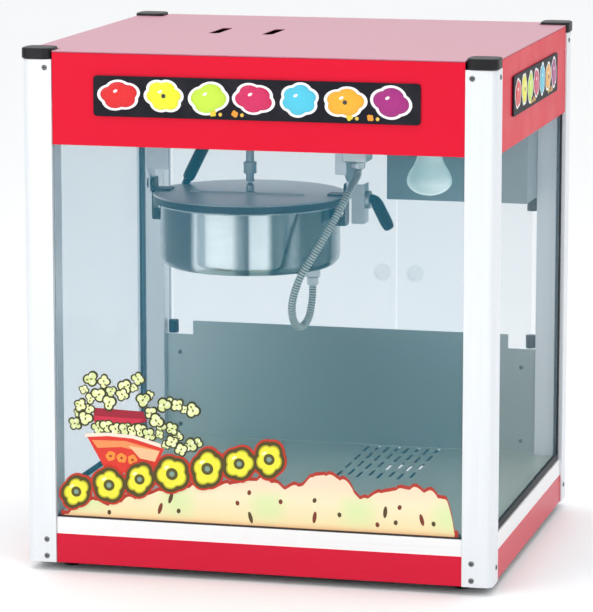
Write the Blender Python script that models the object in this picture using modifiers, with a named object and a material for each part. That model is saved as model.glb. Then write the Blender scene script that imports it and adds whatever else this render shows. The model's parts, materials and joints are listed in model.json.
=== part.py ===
"""Popcorn maker: a glazed cabinet with a tilting kettle hung from its ceiling. Metres, +Z up, front at -Y."""

import math

import bmesh
import bpy
from mathutils import Vector

# ---------------------------------------------------------------- driving sizes
GAP = 0.0003  # between faces that touch

WIDTH = 0.560  # over the posts
DEPTH = 0.500
FOOT_HEIGHT = 0.010
FOOT_RADIUS = 0.0095
FOOT_FROM_SIDE = 0.0425
FOOT_FROM_FRONT = 0.040

POST_SIDE = 0.036
POST_CORNER = 0.010
POST_WALL = 0.002
POST_TOP = 0.607
CAP_HEIGHT = 0.0127
CAP_OVERHANG = 0.0015

SHEET = 0.0015  # thickness of the folded sheet panels
SHEET_RECESS = 0.002  # panel face behind the post face
BASE_TOP = 0.0455
RAIL_TOP = 0.065
RAIL_STEP = 0.0008  # rail face behind the base face
FLANGE = 0.016
HEADER_BOTTOM = 0.508
ROOF_TOP = 0.617
CEILING = 0.560  # underside of the ceiling plate

GLASS = 0.004
GLASS_INSET = 0.009  # glass mid-plane behind the post face
GROOVE_DEPTH = 0.008
GLASS_END_GAP = 0.0015
GLASS_TOP = 0.514

FLOOR_TOP = 0.070
FLOOR_SHEET = 0.0012
SIFTER_CENTRE = (0.075, 0.1255)
SIFTER_COLUMNS = 8
SIFTER_ROWS = 4
SIFTER_PITCH_X = 0.013
SIFTER_PITCH_Y = 0.050
SIFTER_SLOT = (0.004, 0.034)

VENTS_X = (-0.120, -0.053)
VENT_Y = 0.042
VENT_SIZE = (0.013, 0.076)

SIGN_HEIGHT = 0.047
SIGN_MIDDLE_Z = 0.5665
SIGN_LENGTH_FRONT = 0.386
SIGN_LENGTH_SIDE = 0.290
SIGN_THICKNESS = 0.002
SIGN_CORNER = 0.004

APRON_TOP = 0.222
APRON_NOTCH = (0.036, 0.018)
APRON_Y = 0.2225
DOOR_Y = 0.2295
DOOR_BOTTOM = 0.200
DOOR_TOP = 0.506
DOOR_PIVOT_INSET = 0.0085  # hinge axis from the post's inner face
DOOR_SPLIT_GAP = 0.003
HINGE_RADIUS = 0.0058
HINGE_HEIGHT = 0.016
KNOB_RADIUS = 0.011
KNOB_LENGTH = 0.017
KNOB_FROM_EDGE = 0.020
KNOB_Z = 0.292

DRAWER_WIDTH = 0.210
DRAWER_DEPTH = 0.236
DRAWER_SHEET = 0.001
DRAWER_FLOOR_GAP = 0.0012
DRAWER_HEIGHT = 0.026
DRAWER_FRONT_MARGIN = 0.004
PULL_SLOT = (0.070, 0.011)

BOX_LEFT = 0.065  # control box
BOX_DEPTH = 0.086
BOX_BACK_Y = DEPTH / 2 - 0.014  # inside the rear header
BOX_FRONT_Y = BOX_BACK_Y - BOX_DEPTH
BOX_BOTTOM = 0.400
SWITCH_SIZE = (0.012, 0.019)
SWITCH_THICKNESS = 0.007
SWITCH_GAP = 0.0005
SWITCH_PITCH = 0.030
SWITCH_FIRST_X = 0.100
SWITCH_Z = 0.478
SWITCH_SWING = math.radians(20)
INLET_CENTRE = (0.205, 0.431)
INLET_SIZE = (0.0275, 0.0205)
INLET_FLANGE = 0.004
INLET_WALL = 0.002
INLET_DEPTH = 0.020

LAMP_X = 0.130
LAMP_Y = BOX_FRONT_Y - 0.050
LAMP_BULB_RADIUS = 0.028
LAMP_BULB_BOTTOM = 0.414
LAMP_SOCKET_RADIUS = 0.019
LAMP_SOCKET_BOTTOM = 0.470
LAMP_NECK_RADIUS = 0.015

KETTLE_X = -0.072
TILT_Z = 0.432  # kettle pivot, just above the lid
POT_RADIUS = 0.110  # outer radius of the jacket
POT_BOTTOM = 0.3365
POT_CORNER = 0.014
POT_WALL = 0.0012
LINER_GAP = 0.0013
RIM_TOP = 0.4138
RIM_RADIUS = 0.1125
RIM_HEIGHT = 0.0024
POT_FLOOR = 0.3535
POT_FLOOR_CORNER = 0.010
HEATER_RADIUS = 0.092
HEATER_HOLE = 0.045
HEATER_HEIGHT = 0.008
LID_RADIUS = 0.1185
LID_TOP = 0.4245
LID_SKIRT = 0.4145
LID_SHEET = 0.0015
CROSSBAR_HALF = 0.0115
HUB_RADIUS = 0.005
HUB_HOLE = 0.0065
ROD_RADIUS = 0.005
ROD_START = 0.0058  # above the pivot
COLLAR_RADIUS = 0.008
COLLAR_Z = (0.448, 0.462)
ROD_HOLE = 0.009
STIRRER_REACH = 0.096
STIRRER_WIRE = 0.003
LID_BARREL = 0.002
BRACKET_X = 0.1195  # inner face, from the kettle axis
BRACKET_SHEET = 0.002
BRACKET_HALF = 0.0115
BRACKET_LOW = 0.388
BRACKET_HIGH = 0.440
LEDGE_X = 0.099
PIN_RADIUS = 0.004
HANGER_X = 0.1235  # inner face, from the kettle axis
HANGER_SHEET = 0.002
HANGER_HALF = 0.022
HANGER_END = 0.012
HANGER_FLANGE_Z = 0.452
LEFT_FLANGE = 0.028
RIGHT_FLANGE = 0.014
TILT_PLATE = (0.0575, 0.0735)
TILT_PLATE_Z = (0.392, 0.440)
TILT_DISC_RADIUS = 0.011
TILT_DISC_Z = 0.4205
TILT_DISC_END = 0.0785
GRIP_RADIUS = 0.0076
HANDLE_FOOT = (-0.0975, 0.056)  # from the kettle axis
HANDLE_LEAN = (0.029, 0.0, 0.058)
HANDLE_RADIUS = 0.0078
MOTOR_RADIUS = 0.030
MOTOR_FLANGE = 0.042
MOTOR_HEIGHT = 0.042
LEAD_RADIUS = 0.0048
GLAND_PLACE = (0.0845, -0.024)  # from the kettle axis
GLAND_LENGTH = 0.018
CONNECTOR_PLACE = (0.070, -0.030)
CONNECTOR_Z = (0.4615, 0.490)

HALF_W = WIDTH / 2
HALF_D = DEPTH / 2
INNER_X = HALF_W - POST_SIDE
INNER_Y = HALF_D - POST_SIDE
POST_FOOT = FOOT_HEIGHT + GAP

PLANES = {
    "XY": (0.0, 0.0, 0.0),
    "XZ": (math.pi / 2, 0.0, 0.0),
    "YZ": (math.pi / 2, 0.0, math.pi / 2),
}
NORMALS = {"XY": 2, "XZ": 1, "YZ": 0}


# ---------------------------------------------------------------- scene and collections
def clear_scene():
    for obj in list(bpy.data.objects):
        bpy.data.objects.remove(obj, do_unlink=True)


def new_collection(name, hidden=False):
    collection = bpy.data.collections.new(name)
    bpy.context.scene.collection.children.link(collection)
    collection.hide_render = hidden
    return collection


clear_scene()
PARTS = new_collection("popcorn_maker")
HELPERS = new_collection("cutters", hidden=True)


def material(name, colour, roughness, metallic=0.0, alpha=1.0):
    made = bpy.data.materials.get(name) or bpy.data.materials.new(name)
    made.use_nodes = True
    shader = made.node_tree.nodes["Principled BSDF"]
    shader.inputs["Base Color"].default_value = (*colour, 1.0)
    shader.inputs["Roughness"].default_value = roughness
    shader.inputs["Metallic"].default_value = metallic
    shader.inputs["Alpha"].default_value = alpha
    made.diffuse_color = (*colour, alpha)
    return made


RED = material("red_paint", (0.78, 0.02, 0.06), 0.35)
SILVER = material("aluminium", (0.85, 0.86, 0.87), 0.35, 1.0)
STEEL = material("stainless", (0.55, 0.58, 0.58), 0.3, 1.0)
GREY = material("grey_paint", (0.22, 0.25, 0.27), 0.5)
BLACK = material("black_plastic", (0.02, 0.02, 0.022), 0.45)
CLEAR = material("glass", (0.75, 0.86, 0.88), 0.05, 0.0, 0.3)
NAVY = material("sign_panel", (0.02, 0.025, 0.06), 0.3)
FROSTED = material("frosted_glass", (0.8, 0.88, 0.86), 0.4)
CERAMIC = material("ceramic", (0.8, 0.78, 0.72), 0.6)
ROOF = material("roof_paint", (0.55, 0.10, 0.16), 0.4)


# ---------------------------------------------------------------- modelling helpers
def keep(obj, paint):
    """Puts an object among the parts, with its material."""
    for old in list(obj.users_collection):
        old.objects.unlink(obj)
    PARTS.objects.link(obj)
    obj.data.materials.clear()
    obj.data.materials.append(paint)
    return obj


def helper(obj):
    """Makes an object a cutter or a join: hidden from renders, drawn as wire."""
    for old in list(obj.users_collection):
        old.objects.unlink(obj)
    HELPERS.objects.link(obj)
    obj.hide_render = True
    obj.display_type = "WIRE"
    return obj


def arc(centre, radius, start, end, steps):
    """Points on an arc, angles in degrees, both ends included."""
    turns = [math.radians(start + (end - start) * i / steps) for i in range(steps + 1)]
    return [(centre[0] + radius * math.cos(a), centre[1] + radius * math.sin(a)) for a in turns]


def rectangle(low, high):
    return [(low[0], low[1]), (high[0], low[1]), (high[0], high[1]), (low[0], high[1])]


def rounded(low, high, radius, steps=3):
    corners = [
        ((high[0] - radius, low[1] + radius), -90),
        ((high[0] - radius, high[1] - radius), 0),
        ((low[0] + radius, high[1] - radius), 90),
        ((low[0] + radius, low[1] + radius), 180),
    ]
    return [point for centre, start in corners for point in arc(centre, radius, start, start + 90, steps)]


def obround(centre, size, steps=3):
    """A slot outline with round ends, long along its second size."""
    radius = size[0] / 2
    reach = size[1] / 2 - radius
    top = arc((centre[0], centre[1] + reach), radius, 0, 180, steps)
    bottom = arc((centre[0], centre[1] - reach), radius, 180, 360, steps)
    return top + bottom


def ring_hole(centre, radius, steps=12):
    return arc(centre, radius, 0, 360 - 360 / steps, steps - 1)


def evaluated_mesh(obj):
    """A welded mesh object that stands in for a curve, at the same place."""
    bpy.context.view_layer.update()
    graph = bpy.context.evaluated_depsgraph_get()
    mesh = bpy.data.meshes.new_from_object(obj.evaluated_get(graph))
    work = bmesh.new()
    work.from_mesh(mesh)
    bmesh.ops.remove_doubles(work, verts=work.verts, dist=1e-6)
    bmesh.ops.recalc_face_normals(work, faces=work.faces)
    work.to_mesh(mesh)
    work.free()
    made = bpy.data.objects.new(obj.name + "_solid", mesh)
    made.matrix_world = obj.matrix_world
    name = obj.name
    bpy.data.objects.remove(obj, do_unlink=True)
    bpy.context.scene.collection.objects.link(made)
    made.name = name
    return made


def plate(name, plane, outlines, offset, thickness):
    """A flat outline with holes, as a closed mesh, centred on offset along the plane's normal."""
    curve = bpy.data.curves.new(name, "CURVE")
    curve.dimensions = "2D"
    curve.fill_mode = "BOTH"
    curve.extrude = thickness / 2
    for points in outlines:
        spline = curve.splines.new("POLY")
        spline.points.add(len(points) - 1)
        for slot, (x, y) in zip(spline.points, points):
            slot.co = (x, y, 0.0, 1.0)
        spline.use_cyclic_u = True
    obj = bpy.data.objects.new(name, curve)
    obj.rotation_euler = PLANES[plane]
    place = [0.0, 0.0, 0.0]
    place[NORMALS[plane]] = offset
    obj.location = place
    bpy.context.scene.collection.objects.link(obj)
    return evaluated_mesh(obj)


def box(name, low, high):
    bpy.ops.mesh.primitive_cube_add(size=1.0)
    obj = bpy.context.active_object
    obj.name = name
    obj.data.name = name
    size = [b - a for a, b in zip(low, high)]
    for vertex in obj.data.vertices:
        vertex.co = [c * s for c, s in zip(vertex.co, size)]
    obj.location = [(a + b) / 2 for a, b in zip(low, high)]
    return obj


def cylinder(name, centre, radius, length, axis="Z", sides=24):
    bpy.ops.mesh.primitive_cylinder_add(vertices=sides, radius=radius, depth=length)
    obj = bpy.context.active_object
    obj.name = name
    obj.data.name = name
    obj.rotation_euler = {"X": (0, math.pi / 2, 0), "Y": (math.pi / 2, 0, 0), "Z": (0, 0, 0)}[axis]
    obj.location = centre
    return obj


def turned(name, profile, centre, steps, axis="Z", closed=True):
    """A profile of (radius, height) points turned about its own axis; its outer side runs downwards."""
    work = bmesh.new()
    verts = [work.verts.new((r, 0.0, z)) for r, z in profile]
    for first, second in zip(verts, verts[1:]):
        work.edges.new((first, second))
    if closed:
        work.edges.new((verts[-1], verts[0]))
    mesh = bpy.data.meshes.new(name)
    work.to_mesh(mesh)
    work.free()
    obj = bpy.data.objects.new(name, mesh)
    bpy.context.scene.collection.objects.link(obj)
    screw = obj.modifiers.new("turn", "SCREW")
    screw.steps = screw.render_steps = steps
    screw.use_merge_vertices = True
    screw.merge_threshold = 1e-6
    screw.use_smooth_shade = True
    obj.rotation_euler = {"X": (0, math.pi / 2, 0), "Y": (-math.pi / 2, 0, 0), "Z": (0, 0, 0)}[axis]
    obj.location = centre
    return obj


def boolean(obj, other, operation):
    modifier = obj.modifiers.new(operation.lower(), "BOOLEAN")
    modifier.operation = operation
    modifier.solver = "EXACT"
    modifier.object = helper(other)
    return obj


def cut(obj, *others):
    for other in others:
        boolean(obj, other, "DIFFERENCE")
    return obj


def join(obj, *others):
    for other in others:
        boolean(obj, other, "UNION")
    return obj


def bevel(obj, width, segments=1, angle=40):
    modifier = obj.modifiers.new("edges", "BEVEL")
    modifier.width = width
    modifier.segments = segments
    modifier.limit_method = "ANGLE"
    modifier.angle_limit = math.radians(angle)
    return obj


def smooth_path(points, spacing):
    """Points about `spacing` apart on a centripetal Catmull-Rom curve through the given points."""
    knots = [Vector(p) for p in points]
    ends = [knots[0] * 2 - knots[1]] + knots + [knots[-1] * 2 - knots[-2]]
    found = []
    for p0, p1, p2, p3 in zip(ends, ends[1:], ends[2:], ends[3:]):
        t1 = (p1 - p0).length ** 0.5
        t2 = t1 + (p2 - p1).length ** 0.5
        t3 = t2 + (p3 - p2).length ** 0.5
        count = max(1, round((p2 - p1).length / spacing))
        for i in range(count):
            t = t1 + (t2 - t1) * i / count
            a1 = p0.lerp(p1, t / t1)
            a2 = p1.lerp(p2, (t - t1) / (t2 - t1))
            a3 = p2.lerp(p3, (t - t2) / (t3 - t2))
            b1 = a1.lerp(a2, t / t2)
            b2 = a2.lerp(a3, (t - t1) / (t3 - t1))
            found.append(b1.lerp(b2, (t - t1) / (t2 - t1)))
    return found + [knots[-1]]


def tube(name, points, radii, sides_step=2):
    curve = bpy.data.curves.new(name, "CURVE")
    curve.dimensions = "3D"
    curve.bevel_depth = 1.0
    curve.bevel_resolution = sides_step
    curve.use_fill_caps = True
    spline = curve.splines.new("POLY")
    spline.points.add(len(points) - 1)
    for slot, point, radius in zip(spline.points, points, radii):
        slot.co = (*point, 1.0)
        slot.radius = radius
    obj = bpy.data.objects.new(name, curve)
    bpy.context.scene.collection.objects.link(obj)
    return obj


def joint_axis(name, place):
    """An empty on a joint's axis, which carries the pieces that turn or slide with it."""
    empty = bpy.data.objects.new(name, None)
    empty.empty_display_size = 0.02
    empty.location = place
    PARTS.objects.link(empty)
    return empty


def carry(empty, *pieces):
    bpy.context.view_layer.update()
    for piece in pieces:
        piece.parent = empty
        piece.matrix_parent_inverse = empty.matrix_world.inverted()


CORNERS = {
    "front_left": (-1, -1),
    "front_right": (1, -1),
    "rear_left": (-1, 1),
    "rear_right": (1, 1),
}


# ---------------------------------------------------------------- frame
def post_outline(sx, sy):
    """The extrusion's section: round outer corner, a glass groove in each inner face, and a hollow core."""
    low = GLASS_INSET - GLASS / 2 - GAP
    high = GLASS_INSET + GLASS / 2 + GAP
    deep = POST_SIDE - GROOVE_DEPTH
    side = POST_SIDE
    points = arc((POST_CORNER, POST_CORNER), POST_CORNER, 180, 270, 4)
    points += [(side, 0), (side, low), (deep, low), (deep, high), (side, high), (side, side)]
    points += [(high, side), (high, deep), (low, deep), (low, side), (0, side)]
    wall = high + POST_WALL
    core = rectangle((wall, wall), (side - POST_WALL, side - POST_WALL))
    return [[(sx * (HALF_W - u), sy * (HALF_D - v)) for u, v in outline] for outline in (points, core)]


def make_posts():
    middle = (POST_FOOT + POST_TOP) / 2
    for name, (sx, sy) in CORNERS.items():
        keep(plate("post_" + name, "XY", post_outline(sx, sy), middle, POST_TOP - POST_FOOT), SILVER)
        outer_x, outer_y = HALF_W + CAP_OVERHANG, HALF_D + CAP_OVERHANG
        inner_x, inner_y = INNER_X + GAP, INNER_Y + GAP
        xs = sorted((sx * outer_x, sx * inner_x))
        ys = sorted((sy * outer_y, sy * inner_y))
        base = POST_TOP + GAP
        outline = rounded((xs[0], ys[0]), (xs[1], ys[1]), POST_CORNER)
        cap = plate("post_cap_" + name, "XY", [outline], base + CAP_HEIGHT / 2, CAP_HEIGHT)
        keep(bevel(cap, 0.002), BLACK)
        place = (sx * (HALF_W - FOOT_FROM_SIDE), sy * (HALF_D - FOOT_FROM_FRONT), FOOT_HEIGHT / 2)
        keep(bevel(cylinder("foot_" + name, place, FOOT_RADIUS, FOOT_HEIGHT), 0.001), BLACK)


def panel_profile(outer, low, high):
    """A sheet's section, (distance from the cabinet's middle, height), with a flange at its top."""
    face = outer - SHEET_RECESS
    back = face - SHEET
    inside = back - FLANGE
    return [(face, low), (face, high), (inside, high), (inside, high - SHEET), (back, high - SHEET), (back, low)]


def base_profile(outer):
    """A base panel's section: painted band, pale rail outside the glass, shelf, and upstand for the floor."""
    tray_rest = FLOOR_TOP - FLOOR_SHEET - GAP
    face = outer - SHEET_RECESS
    back = face - SHEET
    inside = back - FLANGE
    rail = face - RAIL_STEP
    rail_back = outer - GLASS_INSET + GLASS / 2 + GAP
    return [
        (face, POST_FOOT),
        (face, BASE_TOP),
        (rail, BASE_TOP),
        (rail, RAIL_TOP),
        (rail_back, RAIL_TOP),
        (rail_back, BASE_TOP),
        (inside + SHEET, BASE_TOP),
        (inside + SHEET, tray_rest),
        (inside, tray_rest),
        (inside, BASE_TOP - SHEET),
        (back, BASE_TOP - SHEET),
        (back, POST_FOOT),
    ]


def sheet_run(name, side, profile, half_length):
    """A section run along one side of the cabinet, between its posts."""
    sign = -1 if side in ("front", "left") else 1
    plane = "YZ" if side in ("front", "rear") else "XZ"
    outline = [(sign * d, z) for d, z in profile]
    return plate(name, plane, [outline], 0.0, 2 * half_length)


SIDES = {
    "front": (HALF_D, INNER_X - GAP),
    "rear": (HALF_D, INNER_X - GAP),
    "left": (HALF_W, INNER_Y - GAP),
    "right": (HALF_W, INNER_Y - GAP),
}


def make_panels():
    for side, (outer, half_length) in SIDES.items():
        profile = base_profile(outer)
        if side == "rear":
            profile = panel_profile(outer, POST_FOOT, RAIL_TOP)
        base = sheet_run("base_" + side, side, profile, half_length)
        if side == "rear":
            cut(base, drawer_opening())
        keep(base, RED)
        header = panel_profile(outer, HEADER_BOTTOM, ROOF_TOP - SHEET - GAP)
        keep(sheet_run("header_" + side, side, header, half_length), RED)


def cabinet_outline(inset_x, inset_y, post_clear=GAP):
    """The cabinet's plan with its four post corners cut out."""
    x, y = HALF_W - inset_x, HALF_D - inset_y
    cx, cy = INNER_X - post_clear, INNER_Y - post_clear
    return [
        (-cx, -y), (cx, -y), (cx, -cy), (x, -cy), (x, cy), (cx, cy),
        (cx, y), (-cx, y), (-cx, cy), (-x, cy), (-x, -cy), (-cx, -cy),
    ]


def make_roof():
    outlines = [cabinet_outline(SHEET_RECESS, SHEET_RECESS)]
    outlines += [obround((x, VENT_Y), VENT_SIZE, 5) for x in VENTS_X]
    keep(plate("roof_sheet", "XY", outlines, ROOF_TOP - SHEET / 2, SHEET), ROOF)
    inset = SHEET_RECESS + SHEET + GAP
    outlines = [cabinet_outline(inset, inset)]
    outlines.append(ring_hole((KETTLE_X, 0.0), ROD_HOLE))
    outlines.append(ring_hole((LAMP_X, LAMP_Y), LAMP_SOCKET_RADIUS + GAP, 20))
    keep(plate("ceiling_plate", "XY", outlines, CEILING + SHEET / 2, SHEET), STEEL)


def make_floor():
    inset = SHEET_RECESS + SHEET + GAP
    low = POST_FOOT
    bottom = [cabinet_outline(inset, inset)]
    keep(plate("base_plate", "XY", bottom, low + SHEET / 2, SHEET), STEEL)
    rail_inside = GLASS_INSET + GLASS / 2 + 3 * GAP
    outlines = [cabinet_outline(rail_inside, rail_inside, 0.0015)]
    for column in range(SIFTER_COLUMNS):
        x = SIFTER_CENTRE[0] + (column - (SIFTER_COLUMNS - 1) / 2) * SIFTER_PITCH_X
        shift = SIFTER_PITCH_Y / 8 if column % 2 else -SIFTER_PITCH_Y / 8
        for row in range(SIFTER_ROWS):
            y = SIFTER_CENTRE[1] + (row - (SIFTER_ROWS - 1) / 2) * SIFTER_PITCH_Y + shift
            outlines.append(obround((x, y), SIFTER_SLOT, 2))
    keep(plate("floor_tray", "XY", outlines, FLOOR_TOP - FLOOR_SHEET / 2, FLOOR_SHEET), STEEL)


# ---------------------------------------------------------------- glass and signs
def make_glass():
    end = POST_SIDE - GROOVE_DEPTH + GLASS_END_GAP
    low, high = BASE_TOP + GAP, GLASS_TOP
    front = rectangle((-(HALF_W - end), low), (HALF_W - end, high))
    keep(plate("glass_front", "XZ", [front], -(HALF_D - GLASS_INSET), GLASS), CLEAR)
    side = rectangle((-(HALF_D - end), low), (HALF_D - end, high))
    for name, sign in (("glass_left", -1), ("glass_right", 1)):
        keep(plate(name, "YZ", [side], sign * (HALF_W - GLASS_INSET), GLASS), CLEAR)


def make_signs():
    low = SIGN_MIDDLE_Z - SIGN_HEIGHT / 2
    high = SIGN_MIDDLE_Z + SIGN_HEIGHT / 2
    half = SIGN_LENGTH_FRONT / 2
    depth = SHEET_RECESS - GAP - SIGN_THICKNESS / 2
    front = rounded((-half, low), (half, high), SIGN_CORNER)
    keep(plate("sign_front", "XZ", [front], -(HALF_D - depth), SIGN_THICKNESS), NAVY)
    half = SIGN_LENGTH_SIDE / 2
    side = rounded((-half, low), (half, high), SIGN_CORNER)
    keep(plate("sign_right", "YZ", [side], HALF_W - depth, SIGN_THICKNESS), NAVY)


# ---------------------------------------------------------------- rear: apron, doors, drawer
def make_apron():
    x = INNER_X - GAP
    notch_x, notch_z = APRON_NOTCH
    low = FLOOR_TOP + GAP
    outline = [
        (-x, low), (x, low), (x, APRON_TOP - notch_z), (x - notch_x, APRON_TOP - notch_z),
        (x - notch_x, APRON_TOP), (-x + notch_x, APRON_TOP), (-x + notch_x, APRON_TOP - notch_z),
        (-x, APRON_TOP - notch_z),
    ]
    keep(plate("rear_apron", "XZ", [outline], APRON_Y, SHEET), STEEL)


def make_door(name, sign, free_edge, top):
    """A clear pane with a hinge block at its post side and a knob near its free edge."""
    pivot_x = sign * (INNER_X - DOOR_PIVOT_INSET)
    edges = sorted((pivot_x, free_edge))
    pane = plate(name, "XZ", [rectangle((edges[0], DOOR_BOTTOM), (edges[1], top))], DOOR_Y, GLASS)
    for block_z in (DOOR_BOTTOM + 0.0045, top - HINGE_HEIGHT - 0.0005):
        centre = (pivot_x, DOOR_Y, block_z + HINGE_HEIGHT / 2)
        join(pane, cylinder(name + "_block", centre, HINGE_RADIUS, HINGE_HEIGHT, "Z", 16))
    keep(pane, CLEAR)
    knob_x = free_edge + sign * KNOB_FROM_EDGE
    base = DOOR_Y + GLASS / 2 + GAP
    profile = [
        (0.0, KNOB_LENGTH), (KNOB_RADIUS * 0.75, KNOB_LENGTH), (KNOB_RADIUS, KNOB_LENGTH * 0.85),
        (KNOB_RADIUS, KNOB_LENGTH * 0.45), (KNOB_RADIUS * 0.55, KNOB_LENGTH * 0.25),
        (KNOB_RADIUS * 0.6, 0.0), (0.0, 0.0),
    ]
    knob = turned(name.replace("door", "door_knob"), profile, (knob_x, base, KNOB_Z), 20, "Y", closed=False)
    keep(knob, CLEAR)
    carry(joint_axis(name + "_axis", (pivot_x, DOOR_Y, DOOR_BOTTOM)), pane, knob)


def make_doors():
    split = BOX_LEFT - 0.003 - DOOR_SPLIT_GAP / 2
    make_door("door_left", -1, split - DOOR_SPLIT_GAP / 2, DOOR_TOP)
    make_door("door_right", 1, split + DOOR_SPLIT_GAP / 2, BOX_BOTTOM - 0.003)


def drawer_box():
    low = (SIFTER_CENTRE[0] - DRAWER_WIDTH / 2, HALF_D - SHEET_RECESS - DRAWER_DEPTH)
    high = (SIFTER_CENTRE[0] + DRAWER_WIDTH / 2, HALF_D - SHEET_RECESS)
    floor = POST_FOOT + SHEET + DRAWER_FLOOR_GAP
    return low, high, floor


def drawer_opening():
    """The hole in the rear base panel that the drawer runs through."""
    low, high, floor = drawer_box()
    room = 0.001
    return box(
        "drawer_opening",
        (low[0] - room, high[1] - 3 * SHEET, floor - DRAWER_FLOOR_GAP),
        (high[0] + room, high[1] + SHEET, floor + DRAWER_HEIGHT + room),
    )


def make_drawer():
    low, high, floor = drawer_box()
    wall = DRAWER_SHEET
    drawer = box("crumb_drawer", (low[0], low[1], floor), (high[0], high[1], floor + DRAWER_HEIGHT))
    hollow = box(
        "drawer_hollow",
        (low[0] + wall, low[1] + wall, floor + wall),
        (high[0] - wall, high[1] - wall, floor + DRAWER_HEIGHT + wall),
    )
    margin = DRAWER_FRONT_MARGIN
    face_low, face_high = floor - 0.0005, BASE_TOP - 0.001
    front = plate(
        "drawer_front",
        "XZ",
        [
            rounded((low[0] - margin, face_low), (high[0] + margin, face_high), 0.002),
            rounded(
                (SIFTER_CENTRE[0] - PULL_SLOT[0] / 2, face_high - 0.004 - PULL_SLOT[1]),
                (SIFTER_CENTRE[0] + PULL_SLOT[0] / 2, face_high - 0.004),
                PULL_SLOT[1] / 2 - 0.0005,
            ),
        ],
        high[1] + GAP + SHEET / 2,
        SHEET,
    )
    pull = box(
        "pull_hollow",
        (SIFTER_CENTRE[0] - PULL_SLOT[0] / 2, high[1] - 2 * wall, face_high - 0.004 - PULL_SLOT[1]),
        (SIFTER_CENTRE[0] + PULL_SLOT[0] / 2, high[1] + wall, floor + DRAWER_HEIGHT + wall),
    )
    cut(drawer, hollow, pull)
    bridge = box(
        "drawer_bridge",
        (low[0] + 0.005, high[1] - wall / 2, floor + 0.0005),
        (high[0] - 0.005, high[1] + GAP + SHEET / 2, floor + 0.006),
    )
    keep(join(drawer, bridge, front), STEEL)
    carry(joint_axis("drawer_axis", (SIFTER_CENTRE[0], high[1], floor)), drawer)


# ---------------------------------------------------------------- control box, switches, inlet, lamp
def switch_places():
    return {
        name: SWITCH_FIRST_X + i * SWITCH_PITCH
        for i, name in enumerate(("switch_heat", "switch_stir", "switch_lamp"))
    }


def make_control_box():
    wall = SHEET
    right = INNER_X - GAP
    top = CEILING - GAP
    shell = box("control_box", (BOX_LEFT, BOX_FRONT_Y, BOX_BOTTOM), (right, BOX_BACK_Y, top))
    hollow = box(
        "control_hollow",
        (BOX_LEFT + wall, BOX_FRONT_Y + wall, BOX_BOTTOM + wall),
        (right - wall, BOX_BACK_Y - wall, top + wall),
    )
    cut(shell, hollow)
    for x in switch_places().values():
        opening = (SWITCH_SIZE[0] + 2 * SWITCH_GAP, SWITCH_SIZE[1] + 2 * SWITCH_GAP)
        cut(shell, wall_opening(x, SWITCH_Z, opening))
    cut(shell, wall_opening(*INLET_CENTRE, (INLET_SIZE[0] + 2 * GAP, INLET_SIZE[1] + 2 * GAP)))
    keep(shell, GREY)


def wall_opening(x, z, size):
    """A hole through the control box's rear wall."""
    low = (x - size[0] / 2, BOX_BACK_Y - 2 * SHEET, z - size[1] / 2)
    high = (x + size[0] / 2, BOX_BACK_Y + SHEET, z + size[1] / 2)
    return box("wall_opening", low, high)


def make_switches():
    half_x, half_z = SWITCH_SIZE[0] / 2, SWITCH_SIZE[1] / 2
    pivot_y = BOX_BACK_Y - SHEET / 2
    for name, x in switch_places().items():
        profile = [
            (-SWITCH_THICKNESS, -half_z * 0.55), (SWITCH_THICKNESS * 0.5, -half_z),
            (SWITCH_THICKNESS * 0.32, 0.0), (SWITCH_THICKNESS * 0.5, half_z),
            (-SWITCH_THICKNESS, half_z * 0.55),
        ]
        tilt = SWITCH_SWING / 2
        turned_profile = [
            (
                pivot_y + y * math.cos(tilt) - z * math.sin(tilt),
                SWITCH_Z + y * math.sin(tilt) + z * math.cos(tilt),
            )
            for y, z in profile
        ]
        rocker = keep(plate(name, "YZ", [turned_profile], x, 2 * half_x), BLACK)
        carry(joint_axis(name + "_axis", (x, pivot_y, SWITCH_Z)), rocker)


def make_inlet():
    x, z = INLET_CENTRE
    half_x, half_z = INLET_SIZE[0] / 2, INLET_SIZE[1] / 2
    low, high = (x - half_x, BOX_BACK_Y - INLET_DEPTH, z - half_z), (x + half_x, BOX_BACK_Y + 0.001, z + half_z)
    body = box("power_inlet", low, high)
    flange = box(
        "inlet_flange",
        (x - half_x - INLET_FLANGE, BOX_BACK_Y + GAP, z - half_z - INLET_FLANGE),
        (x + half_x + INLET_FLANGE, BOX_BACK_Y + 0.0025, z + half_z + INLET_FLANGE),
    )
    socket = box(
        "inlet_socket",
        (x - half_x + INLET_WALL, BOX_BACK_Y - INLET_DEPTH + INLET_WALL, z - half_z + INLET_WALL),
        (x + half_x - INLET_WALL, BOX_BACK_Y + 0.01, z + half_z - INLET_WALL),
    )
    keep(cut(join(body, flange), socket), BLACK)


def make_lamp():
    place = (LAMP_X, LAMP_Y, 0.0)
    seat = CEILING - GAP
    socket = [
        (0.0, seat + 0.012), (LAMP_SOCKET_RADIUS, seat + 0.012), (LAMP_SOCKET_RADIUS, LAMP_SOCKET_BOTTOM),
        (0.0, LAMP_SOCKET_BOTTOM),
    ]
    keep(turned("lamp_socket", socket, place, 24, closed=False), CERAMIC)
    bottom, radius, neck = LAMP_BULB_BOTTOM, LAMP_BULB_RADIUS, LAMP_NECK_RADIUS
    top = LAMP_SOCKET_BOTTOM - GAP
    widest = bottom + 0.018
    dome = [(radius * math.cos(a), widest - 0.018 * math.sin(a)) for a in (0.35, 0.75, 1.15)]
    bulb = [(0.0, top), (neck, top), (neck, widest + 0.029), (neck * 1.15, widest + 0.024)]
    bulb += [(radius * 0.92, widest + 0.009), (radius, widest)] + dome + [(0.0, bottom)]
    keep(turned("lamp_bulb", bulb, place, 24, closed=False), FROSTED)


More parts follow.
